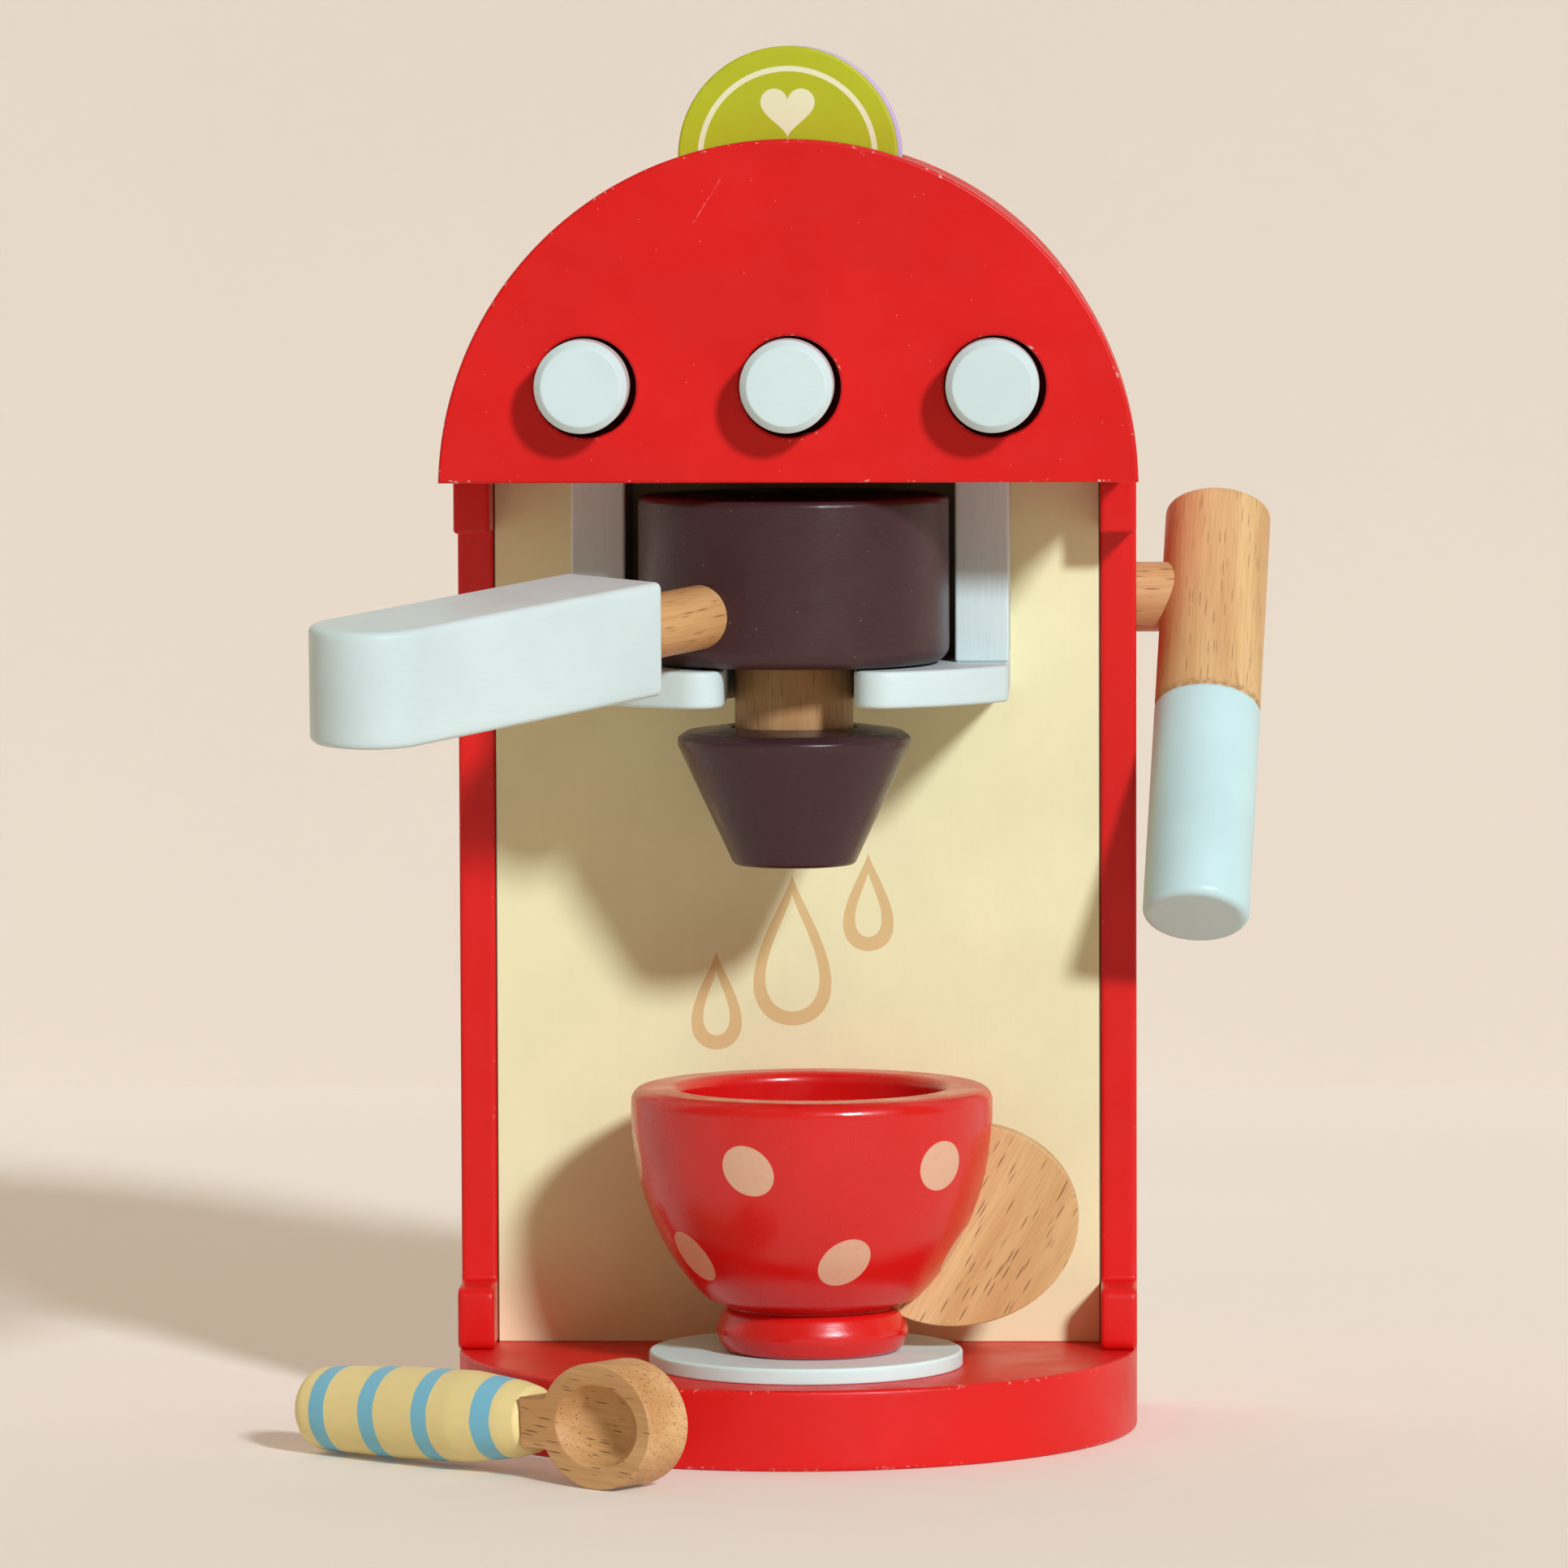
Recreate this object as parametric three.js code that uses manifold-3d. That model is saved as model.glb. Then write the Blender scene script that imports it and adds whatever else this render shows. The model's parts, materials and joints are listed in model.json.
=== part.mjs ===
// Toy coffee maker of painted wood and beech, with its cup, spoon and discs.
// Millimetres, +Z up, front facing -Y. The origin is on the underside of the base, at the centre of its
// round front edge.
import * as THREE from "three";
import { mergeVertices } from "three/addons/utils/BufferGeometryUtils.js";
import Module from "manifold-3d";

const wasm = await Module();
wasm.setup();

// Fits, and how far a cutting body reaches past the face that it cuts
const runningGap = 0.3;
const glueGap = 0.3;
const cutOverrun = 2;

// Facets of round shapes
const fineSides = 48;
const roundSides = 36;
const smallSides = 24;
const arcSteps = 16;
const edgeSteps = 2;
const profileSteps = 8;

// Stand: base, side panels and back panel
const bodyWidth = 120;
const bodyRear = 30;
const baseThickness = 14;
const postThickness = 6.4;
const postHeight = 155.7;
const postDepth = 27;
const toeReach = 10;
const footHeight = 11.1;
const topBlockHeight = 11.2;
const toeCornerRadius = 2;
const panelThickness = 5;
const panelSetback = 3;

// Head: layers of board from front to back
const domeDrop = 1.3;
const domeInset = 0.2;
const headSideShift = 0.5;
const headReach = 57.5;
const facadeThickness = 9;
const spacerThickness = 10;
const innerDomeThickness = 8;
const rearDomeThickness = 8;
const roofInset = 1;
const roofThickness = 4.5;
const floorThickness = 5.9;

// Discs and the slot that holds them
const discRadius = 18.8;
const discThickness = 4.4;
const discSideClearance = 0.65;
const discSideShift = 0.33;
const slotFloorHeight = 36.4;
const slotCornerRadius = 3;
const slotSideShift = 0.2;

// Buttons, their springs and their retainers
const buttonSideInset = 25.05;
const buttonRise = 16.7;
const buttonRadius = 7.95;
const buttonChamfer = 1.2;
const buttonProud = 9;
const boreClearance = 0.6;
const capLength = 16;
const stemRadius = 3;
const retainerRadius = 5.5;
const retainerThickness = 2.4;
const stemTail = 0.8;
const springWireRadius = 0.45;
const springMeanRadius = 4.6;
const springCurls = 5;
const curlSteps = 8;
const wireSides = 5;
const springRoomNeeded = 0.4;

// Holder under the head
const holderWidth = 76.1;
const holderSideShift = -0.25;
const armThickness = 9.4;
const armReach = 31;
const armHeight = 32.7;
const plateThickness = 6.4;
const plateReach = 61;
const plateBow = 21.9;
const plateCornerRadius = 4.5;
const mouthCornerRadius = 5;
const neckSideClearance = 0.9;

// Filter unit
const filterReach = 33.7;
const filterSideShift = 0.5;
const neckSideShift = 0.3;
const cylinderRadius = 27;
const cylinderHeight = 28.9;
const cylinderLowEdge = 3;
const cylinderTopEdge = 1.5;
const neckRadius = 10.3;
const nozzleClearance = 4.4;
const nozzleTopRadius = 20.3;
const nozzleBottomRadius = 10.5;
const nozzleHeight = 24.2;
const nozzleLipRadius = 1.2;
const nozzleDishDepth = 1.9;

// Handle of the filter unit and its dowel
const handleTurn = THREE.MathUtils.degToRad(35);
const handleDroop = THREE.MathUtils.degToRad(4.1);
const handleRoll = THREE.MathUtils.degToRad(-2.8);
const dowelRadius = 5.5;
const dowelHeight = 10.97;
const dowelSocketDepth = 13;
const dowelFreeLength = 23.5;
const handleLength = 76.1;
const handleWidth = 20.6;
const handleHeight = 19.5;

// Lever on the right
const axleRadius = 6.2;
const axleDrop = 23.9;
const collarRadius = 7.6;
const collarThickness = 6;
const collarPanelGap = 0.4;
const gripRadius = 9.35;
const gripStandoff = 4.45;
const gripAboveAxle = 17.5;
const gripBelowAxle = 65.4;
const gripEdge = 1.2;
const gripSocketDepth = 8;
const gripTilt = THREE.MathUtils.degToRad(-34);
const gripLean = THREE.MathUtils.degToRad(3.08);

// Cup and coaster
const cupPanelGap = 0.7;
const cupForwardShift = 1.1;
const coasterSideShift = 2.1;
const coasterRadius = 27.4;
const coasterThickness = 2.8;
const cupSideShift = 3.3;
const cupRadius = 31.5;
const cupOpeningRadius = 23.3;
const cupWidestHeight = 42.2;
const cupBowlDrop = 40.5;
const cupInnerDepth = 30;
const cupFootRadius = 16.8;
const cupFootHeight = 5.4;
const cupFootEdge = 1.8;
const cupNeckRadius = 13.9;
const cupNeckHeight = 6.8;
const cupCoveHeight = 2.2;
const earThickness = 5.5;
const earLongRadius = 20.8;
const earShortRadius = 17.6;
const earTurn = THREE.MathUtils.degToRad(10.7);
const earSideReach = 25.8;
const earHeight = 22.1;
const earSeatGap = 0.4;

// Spoon lying on the ground in front of the base
const spoonTailSide = -83.3;
const spoonTailFront = -33.6;
const spoonTurn = THREE.MathUtils.degToRad(-39);
const spoonHandleLength = 52.5;
const spoonHandleRadius = 8;
const spoonTailRadius = 7.5;
const spoonTailEdge = 3.2;
const spoonEndRadius = 5.8;
const spoonShoulderLength = 11;
const spoonBowlDistance = 70;
const spoonBowlHalfLength = 12.5;
const spoonBowlRadius = 10.8;
const spoonBowlThickness = 10;
const spoonShankHeight = 8.8;
const spoonPegRadius = 3;
const spoonPegLength = 10;
const spoonRecessRadius = 6.9;
const spoonRecessFloorRadius = 4.6;
const spoonRecessDepth = 4;

// Paints and woods
const redPaint = new THREE.MeshStandardMaterial({ color: 0xe02b28, roughness: 0.45, metalness: 0 });
const bluePaint = new THREE.MeshStandardMaterial({ color: 0xd6e8e9, roughness: 0.45, metalness: 0 });
const creamPaint = new THREE.MeshStandardMaterial({ color: 0xf1e6c0, roughness: 0.5, metalness: 0 });
const brownPaint = new THREE.MeshStandardMaterial({ color: 0x503739, roughness: 0.5, metalness: 0 });
const limePaint = new THREE.MeshStandardMaterial({ color: 0xbcb92d, roughness: 0.5, metalness: 0 });
const lilacPaint = new THREE.MeshStandardMaterial({ color: 0xcdb4dc, roughness: 0.5, metalness: 0 });
const yellowPaint = new THREE.MeshStandardMaterial({ color: 0xe6d38c, roughness: 0.5, metalness: 0 });
const beech = new THREE.MeshStandardMaterial({ color: 0xd9a56b, roughness: 0.6, metalness: 0 });
const springSteel = new THREE.MeshStandardMaterial({ color: 0xb9bcc0, roughness: 0.3, metalness: 1 });

// Places that follow from the sizes
const halfWidth = bodyWidth / 2;
const postInner = halfWidth - postThickness;
const postFront = bodyRear - postDepth;
const panelFront = postFront + panelSetback;
const panelRear = panelFront + panelThickness;
const headBottom = baseThickness + postHeight;
const domeRadius = halfWidth - domeInset;
const roofRadius = domeRadius - roofInset;
const buttonSpacing = halfWidth - buttonSideInset;
const spacerFront = facadeThickness - headReach;
const innerDomeFront = spacerFront + spacerThickness;
const roofFront = innerDomeFront + innerDomeThickness;
const roofRear = bodyRear - rearDomeThickness;
const slotHalf = discRadius + discSideClearance;
const buttonBoreRadius = buttonRadius + boreClearance;
const stemBoreRadius = stemRadius + runningGap;
const plateTop = headBottom - armHeight;
const plateFrontRadius = ((holderWidth / 2) ** 2 + plateBow ** 2) / (2 * plateBow);
const filterX = filterSideShift;
const filterY = panelFront - filterReach;
const forkSlotX = filterX - neckSideShift;
const forkSlotHalf = neckRadius + neckSideClearance;
const cylinderBottom = plateTop + runningGap;
const nozzleTop = plateTop - plateThickness - nozzleClearance;
const axleY = panelRear + collarPanelGap + collarRadius;
const axleZ = headBottom - axleDrop;
const gripX = halfWidth + gripStandoff + gripRadius;
const coasterTop = baseThickness + coasterThickness;
const cupY = panelFront - cupPanelGap - cupRadius;
const handleStart = cylinderRadius + dowelFreeLength;

// Solid made from a geometry's bare points
function toSolid(geometry) {
  const bare = geometry.clone();
  bare.deleteAttribute("normal");
  bare.deleteAttribute("uv");
  const merged = mergeVertices(bare);
  const vertProperties = new Float32Array(merged.attributes.position.array);
  const triVerts = new Uint32Array(merged.index.array);
  return new wasm.Manifold(new wasm.Mesh({ numProp: 3, vertProperties, triVerts }));
}

// Geometry made from a solid
function fromSolid(solid) {
  const mesh = solid.getMesh();
  const geometry = new THREE.BufferGeometry();
  geometry.setAttribute("position", new THREE.BufferAttribute(new Float32Array(mesh.vertProperties), 3));
  geometry.setIndex(new THREE.BufferAttribute(new Uint32Array(mesh.triVerts), 1));
  return geometry;
}

function cut(body, tool) {
  return fromSolid(toSolid(body).subtract(toSolid(tool)));
}

function join(body, other) {
  return fromSolid(toSolid(body).add(toSolid(other)));
}

// Cut a posed tool out of a posed mesh
function cutPosed(mesh, tool) {
  mesh.updateMatrixWorld(true);
  tool.updateMatrixWorld(true);
  const toMesh = mesh.matrixWorld.clone().invert().multiply(tool.matrixWorld);
  mesh.geometry = cut(mesh.geometry, tool.geometry.clone().applyMatrix4(toMesh));
}

// Board whose outline is drawn in plan
function planBoard(shape, thickness) {
  return new THREE.ExtrudeGeometry(shape, { depth: thickness, bevelEnabled: false, curveSegments: arcSteps });
}

// Board whose outline is drawn as seen from the front, reaching back from local y zero
function frontBoard(shape, thickness) {
  return planBoard(shape, thickness).rotateX(Math.PI / 2).translate(0, thickness, 0);
}

// Board whose outline is drawn as (y, z), reaching right from local x zero
function sideBoard(shape, thickness) {
  const turn = new THREE.Matrix4().makeBasis(
    new THREE.Vector3(0, 1, 0),
    new THREE.Vector3(0, 0, 1),
    new THREE.Vector3(1, 0, 0),
  );
  return planBoard(shape, thickness).applyMatrix4(turn);
}

// Round solid about +Z from [radius, height] pairs listed upwards
function turnedUp(profile, sides) {
  const points = profile.map(([radius, height]) => new THREE.Vector2(radius, height));
  return new THREE.LatheGeometry(points, sides).rotateX(Math.PI / 2);
}

// Round solid about +X from [radius, distance] pairs
function turnedAlong(profile, sides) {
  return turnedUp(profile, sides).rotateY(Math.PI / 2);
}

// Round solid about +Y from [radius, distance] pairs
function turnedBack(profile, sides) {
  const points = profile.map(([radius, distance]) => new THREE.Vector2(radius, distance));
  return new THREE.LatheGeometry(points, sides);
}

function rod(radius, length) {
  return [[0, 0], [radius, 0], [radius, length], [0, length]];
}

// Points [a, b] on an arc or on a quarter of an ellipse
function arc(centreA, centreB, radiusA, radiusB, from, to, steps) {
  return Array.from({ length: steps + 1 }, (_, i) => {
    const angle = THREE.MathUtils.lerp(from, to, i / steps);
    return [centreA + radiusA * Math.cos(angle), centreB + radiusB * Math.sin(angle)];
  });
}

function piece(name, geometry, material, x = 0, y = 0, z = 0) {
  const mesh = new THREE.Mesh(geometry, material);
  mesh.name = name;
  mesh.position.set(x, y, z);
  return mesh;
}

function block(width, depth, height) {
  return new THREE.BoxGeometry(width, depth, height).translate(0, depth / 2, height / 2);
}

// Base: straight behind, half round in front
function basePlate() {
  const shape = new THREE.Shape();
  shape.moveTo(-halfWidth, bodyRear);
  shape.lineTo(-halfWidth, 0);
  shape.absarc(0, 0, halfWidth, -Math.PI, 0, false);
  shape.lineTo(halfWidth, bodyRear);
  return piece("base_plate", planBoard(shape, baseThickness), redPaint);
}

function coaster() {
  const disc = turnedUp(rod(coasterRadius, coasterThickness), fineSides);
  return piece("coaster", disc, bluePaint, coasterSideShift, cupY + cupForwardShift, baseThickness);
}

// Side panel outline in (y, z above the base): a post with a foot and a top block that reach forward
function sidePanelShape() {
  const toeFront = postFront - toeReach;
  const inner = toeFront + toeCornerRadius;
  const blockBottom = postHeight - topBlockHeight;
  const turn = Math.PI / 2;
  const shape = new THREE.Shape();
  shape.moveTo(bodyRear, 0);
  shape.lineTo(bodyRear, postHeight);
  shape.absarc(inner, postHeight - toeCornerRadius, toeCornerRadius, turn, 2 * turn, false);
  shape.lineTo(toeFront, blockBottom);
  shape.lineTo(postFront, blockBottom);
  shape.lineTo(postFront, footHeight);
  shape.absarc(inner, footHeight - toeCornerRadius, toeCornerRadius, turn, 2 * turn, false);
  shape.absarc(inner, toeCornerRadius, toeCornerRadius, 2 * turn, 3 * turn, false);
  return shape;
}

function leftSidePanel() {
  const board = sideBoard(sidePanelShape(), postThickness);
  return piece("left_side_panel", board, redPaint, -halfWidth, 0, baseThickness);
}

function rightSidePanel() {
  const shape = sidePanelShape();
  const bore = new THREE.Path();
  bore.absarc(axleY, axleZ - baseThickness, axleRadius + runningGap, 0, 2 * Math.PI, false);
  shape.holes.push(bore);
  return piece("right_side_panel", sideBoard(shape, postThickness), redPaint, postInner, 0, baseThickness);
}

function backPanel() {
  const board = block(2 * postInner, panelThickness, postHeight);
  return piece("back_panel", board, creamPaint, 0, panelFront, baseThickness);
}

// Half round with its flat side on the head's underside
function domeShape(radius) {
  const start = Math.asin(domeDrop / radius);
  const shape = new THREE.Shape();
  shape.absarc(0, -domeDrop, radius, start, Math.PI - start, false);
  return shape;
}

function buttonPlaces() {
  return [["left", -buttonSpacing], ["middle", 0], ["right", buttonSpacing]];
}

function boreForButtons(shape, radius) {
  for (const [, x] of buttonPlaces()) {
    const bore = new THREE.Path();
    bore.absarc(x, buttonRise, radius, 0, 2 * Math.PI, false);
    shape.holes.push(bore);
  }
  return shape;
}

function frontFacade() {
  const board = frontBoard(boreForButtons(domeShape(domeRadius), buttonBoreRadius), facadeThickness);
  return piece("front_facade", board, redPaint, headSideShift, -headReach, headBottom);
}

// Second layer: the dome with a slot for the discs, open at the top
function spacerShape() {
  const left = slotSideShift - slotHalf;
  const right = slotSideShift + slotHalf;
  const low = slotFloorHeight + slotCornerRadius;
  const start = Math.asin(domeDrop / domeRadius);
  const turn = Math.PI / 2;
  const shape = new THREE.Shape();
  shape.absarc(0, -domeDrop, domeRadius, start, Math.acos(right / domeRadius), false);
  shape.absarc(right - slotCornerRadius, low, slotCornerRadius, 0, -turn, true);
  shape.absarc(left + slotCornerRadius, low, slotCornerRadius, -turn, -2 * turn, true);
  shape.absarc(0, -domeDrop, domeRadius, Math.acos(left / domeRadius), Math.PI - start, false);
  return shape;
}

function slotSpacer() {
  const board = frontBoard(boreForButtons(spacerShape(), buttonBoreRadius), spacerThickness);
  return piece("slot_spacer", board, redPaint, headSideShift, spacerFront, headBottom);
}

function innerDome() {
  const board = frontBoard(boreForButtons(domeShape(domeRadius), stemBoreRadius), innerDomeThickness);
  return piece("inner_dome", board, redPaint, headSideShift, innerDomeFront, headBottom);
}

function roofShell() {
  const inner = roofRadius - roofThickness;
  const outerStart = Math.asin(domeDrop / roofRadius);
  const innerStart = Math.asin(domeDrop / inner);
  const shape = new THREE.Shape();
  shape.absarc(0, -domeDrop, roofRadius, outerStart, Math.PI - outerStart, false);
  shape.absarc(0, -domeDrop, inner, Math.PI - innerStart, innerStart, true);
  const board = frontBoard(shape, roofRear - roofFront);
  return piece("roof_shell", board, redPaint, headSideShift, roofFront, headBottom);
}

function rearDomePanel() {
  const board = frontBoard(domeShape(roofRadius), rearDomeThickness);
  return piece("rear_dome_panel", board, redPaint, headSideShift, roofRear, headBottom);
}

// Floor between the roof's two sides, on the side panels and the back panel
function headFloor() {
  const rise = domeDrop + floorThickness;
  const half = Math.sqrt((roofRadius - roofThickness) ** 2 - rise ** 2) - glueGap;
  const board = block(2 * half, roofRear - roofFront, floorThickness);
  return piece("head_floor", board, redPaint, headSideShift, roofFront, headBottom);
}

// The two discs share the slot's depth with equal gaps
function discs() {
  const gap = (spacerThickness - 2 * discThickness) / 3;
  const z = headBottom + slotFloorHeight + runningGap + discRadius;
  const rows = [["disc_lime", limePaint, -discSideShift, 0], ["disc_lilac", lilacPaint, discSideShift, 1]];
  return rows.map(([name, paint, shift, row]) => {
    const disc = turnedBack(rod(discRadius, discThickness), fineSides);
    const y = spacerFront + gap + row * (discThickness + gap);
    return piece(name, disc, paint, headSideShift + slotSideShift + shift, y, z);
  });
}

// Cap with a chamfered front and a stem that passes through the third layer
function buttonGeometry() {
  const retainerFront = roofFront + runningGap;
  const length = retainerFront + retainerThickness + stemTail - (-headReach - buttonProud);
  const profile = [
    [0, 0], [buttonRadius - buttonChamfer, 0], [buttonRadius, buttonChamfer], [buttonRadius, capLength],
    [stemRadius, capLength], [stemRadius, length], [0, length],
  ];
  return turnedBack(profile, smallSides);
}

// Helical wire between the back of the cap and the third layer, wound about +Y in one unbroken tube
function springPath(length) {
  const count = springCurls * curlSteps;
  return Array.from({ length: count + 1 }, (_, i) => {
    const angle = (2 * Math.PI * i) / curlSteps;
    const x = springMeanRadius * Math.cos(angle);
    const z = springMeanRadius * Math.sin(angle);
    return new THREE.Vector3(x, springWireRadius + (length * i) / count, z);
  });
}

function springRing(centre) {
  const outward = new THREE.Vector3(centre.x, 0, centre.z).normalize();
  return Array.from({ length: wireSides }, (_, side) => {
    const angle = (2 * Math.PI * side) / wireSides;
    const ring = centre.clone().addScaledVector(outward, springWireRadius * Math.cos(angle));
    ring.y += springWireRadius * Math.sin(angle);
    return ring;
  });
}

function springGeometry(length) {
  const rings = springPath(length).map(springRing);
  const index = [];
  const at = (ring, side) => ring * wireSides + (side % wireSides);
  for (let ring = 0; ring < rings.length - 1; ring += 1) {
    for (let side = 0; side < wireSides; side += 1) {
      index.push(at(ring, side), at(ring, side + 1), at(ring + 1, side));
      index.push(at(ring, side + 1), at(ring + 1, side + 1), at(ring + 1, side));
    }
  }
  for (let side = 1; side < wireSides - 1; side += 1) {
    index.push(at(0, 0), at(0, side + 1), at(0, side));
    index.push(at(rings.length - 1, 0), at(rings.length - 1, side), at(rings.length - 1, side + 1));
  }
  const geometry = new THREE.BufferGeometry().setFromPoints(rings.flat());
  geometry.setIndex(index);
  return geometry;
}

// Least distance between wire surfaces of different curls, measured on the points of the rings
function leastSpringGap(length) {
  const rings = springPath(length).map(springRing);
  let least = Infinity;
  for (let a = 0; a < rings.length; a += 1) {
    for (let b = a + curlSteps / 2; b < rings.length; b += 1) {
      for (const p of rings[a]) for (const q of rings[b]) least = Math.min(least, p.distanceTo(q));
    }
  }
  return least;
}

function buttonSet() {
  const front = -headReach - buttonProud;
  const capBack = front + capLength;
  const z = headBottom + buttonRise;
  const room = innerDomeFront - capBack - 2 * runningGap;
  const wound = room - 2 * springWireRadius;
  const washer = () => cut(
    turnedBack(rod(retainerRadius, retainerThickness), smallSides),
    turnedBack(rod(stemRadius + glueGap, retainerThickness + 2 * cutOverrun), smallSides)
      .translate(0, -cutOverrun, 0),
  );
  console.log("least gap of a spring to itself, mm:", leastSpringGap(wound).toFixed(2),
    "needed:", springRoomNeeded);
  return buttonPlaces().flatMap(([side, place]) => {
    const x = headSideShift + place;
    return [
      piece(`${side}_button`, buttonGeometry(), bluePaint, x, front, z),
      piece(`${side}_button_spring`, springGeometry(wound), springSteel, x, capBack + runningGap, z),
      piece(`${side}_button_retainer`, washer(), beech, x, roofFront + runningGap, z),
    ];
  });
}

function holderArms() {
  const offset = (holderWidth - armThickness) / 2;
  return [["left_holder_arm", -offset], ["right_holder_arm", offset]].map(([name, x]) => piece(
    name, block(armThickness, armReach, armHeight), bluePaint,
    holderSideShift + x, panelFront - armReach, plateTop,
  ));
}

// Centre height and tangent angle of a fillet of the given radius inside the plate's front arc
function frontFillet(x, radius) {
  const centreY = panelFront - plateReach + plateFrontRadius;
  const y = centreY - Math.sqrt((plateFrontRadius - radius) ** 2 - x ** 2);
  return { y, angle: Math.atan2(y - centreY, x) };
}

// Plate outline in plan about the holder's middle: straight behind, bowed in front, slot open to the front
function forkShape() {
  const half = holderWidth / 2;
  const slotX = forkSlotX - holderSideShift;
  const [slotLeft, slotRight] = [slotX - forkSlotHalf, slotX + forkSlotHalf];
  const centreY = panelFront - plateReach + plateFrontRadius;
  const corner = half - plateCornerRadius;
  const leftCorner = frontFillet(-corner, plateCornerRadius);
  const rightCorner = frontFillet(corner, plateCornerRadius);
  const leftMouth = frontFillet(slotLeft - mouthCornerRadius, mouthCornerRadius);
  const rightMouth = frontFillet(slotRight + mouthCornerRadius, mouthCornerRadius);
  const shape = new THREE.Shape();
  shape.moveTo(-half, panelFront);
  shape.lineTo(-half, leftCorner.y);
  shape.absarc(-corner, leftCorner.y, plateCornerRadius, -Math.PI, leftCorner.angle, false);
  shape.absarc(0, centreY, plateFrontRadius, leftCorner.angle, leftMouth.angle, false);
  shape.absarc(slotLeft - mouthCornerRadius, leftMouth.y, mouthCornerRadius, leftMouth.angle, 0, false);
  shape.absarc(slotX, filterY, forkSlotHalf, Math.PI, 0, true);
  const rightMouthX = slotRight + mouthCornerRadius;
  shape.absarc(rightMouthX, rightMouth.y, mouthCornerRadius, -Math.PI, rightMouth.angle, false);
  shape.absarc(0, centreY, plateFrontRadius, rightMouth.angle, rightCorner.angle, false);
  shape.absarc(corner, rightCorner.y, plateCornerRadius, rightCorner.angle, 0, false);
  shape.lineTo(half, panelFront);
  return shape;
}

function forkPlate() {
  const board = planBoard(forkShape(), plateThickness);
  return piece("fork_plate", board, bluePaint, holderSideShift, 0, plateTop - plateThickness);
}

// Group posed along the filter handle: local +X runs out along the dowel from the filter's own axis
function handlePose() {
  const group = new THREE.Group();
  group.position.set(filterX, filterY, cylinderBottom + dowelHeight);
  group.rotation.set(handleRoll, handleDroop, -handleTurn - Math.PI / 2, "ZYX");
  return group;
}

function filterCylinder() {
  const quarter = Math.PI / 2;
  const profile = [
    [0, 0],
    ...arc(cylinderRadius - cylinderLowEdge, cylinderLowEdge, cylinderLowEdge, cylinderLowEdge,
      -quarter, 0, edgeSteps),
    ...arc(cylinderRadius - cylinderTopEdge, cylinderHeight - cylinderTopEdge, cylinderTopEdge,
      cylinderTopEdge, 0, quarter, edgeSteps),
    [0, cylinderHeight],
  ];
  const mesh = piece("filter_cylinder", turnedUp(profile, fineSides), brownPaint,
    filterX, filterY, cylinderBottom);
  const start = cylinderRadius - dowelSocketDepth - glueGap;
  const bore = turnedAlong(rod(dowelRadius + glueGap, dowelSocketDepth + glueGap + cutOverrun), smallSides);
  const pose = handlePose();
  const tool = piece("", bore, beech, start);
  pose.add(tool);
  pose.updateMatrixWorld(true);
  cutPosed(mesh, tool);
  return mesh;
}

function filterNeck() {
  const bottom = nozzleTop - nozzleDishDepth;
  const neck = turnedUp(rod(neckRadius, cylinderBottom - bottom), roundSides);
  return piece("filter_neck", neck, beech, filterX, filterY, bottom);
}

// Cone with a rounded lip and a dished top that carries the neck
function filterNozzle() {
  const dishHeight = nozzleHeight - nozzleDishDepth;
  const lipRadius = nozzleTopRadius - nozzleLipRadius;
  const profile = [
    [0, 0], [nozzleBottomRadius, 0],
    ...arc(lipRadius, nozzleHeight - nozzleLipRadius, nozzleLipRadius, nozzleLipRadius,
      0, Math.PI, 2 * edgeSteps),
    [neckRadius + nozzleDishDepth, dishHeight], [0, dishHeight],
  ];
  return piece("filter_nozzle", turnedUp(profile, roundSides), brownPaint,
    filterX, filterY, nozzleTop - nozzleHeight);
}

// Bar with a half-round outer end, drawn along its own +X from the inner end
function handleShape() {
  const half = handleWidth / 2;
  const shape = new THREE.Shape();
  shape.moveTo(0, half);
  shape.lineTo(0, -half);
  shape.absarc(handleLength - half, 0, half, -Math.PI / 2, Math.PI / 2, false);
  return shape;
}

function filterHandle() {
  const group = handlePose();
  const length = dowelFreeLength + 2 * dowelSocketDepth;
  const dowel = turnedAlong(rod(dowelRadius, length), smallSides);
  const bar = planBoard(handleShape(), handleHeight).translate(0, 0, -handleHeight / 2);
  const socket = turnedAlong(rod(dowelRadius + glueGap, dowelSocketDepth + glueGap + cutOverrun), smallSides)
    .translate(-cutOverrun, 0, 0);
  group.add(
    piece("filter_dowel", dowel, beech, cylinderRadius - dowelSocketDepth),
    piece("filter_handle", cut(bar, socket), bluePaint, handleStart),
  );
  return group;
}

function leverAxle() {
  const start = postInner - runningGap - collarThickness;
  const end = gripX - gripRadius + gripSocketDepth;
  const axle = turnedAlong(rod(axleRadius, end - start), roundSides);
  return piece("lever_axle", axle, beech, start, axleY, axleZ);
}

function leverCollar() {
  const ring = turnedAlong(rod(collarRadius, collarThickness), roundSides);
  const bore = turnedAlong(rod(axleRadius + glueGap, collarThickness + 2 * cutOverrun), roundSides)
    .translate(-cutOverrun, 0, 0);
  const x = postInner - runningGap - collarThickness;
  return piece("lever_collar", cut(ring, bore), beech, x, axleY, axleZ);
}

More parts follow.
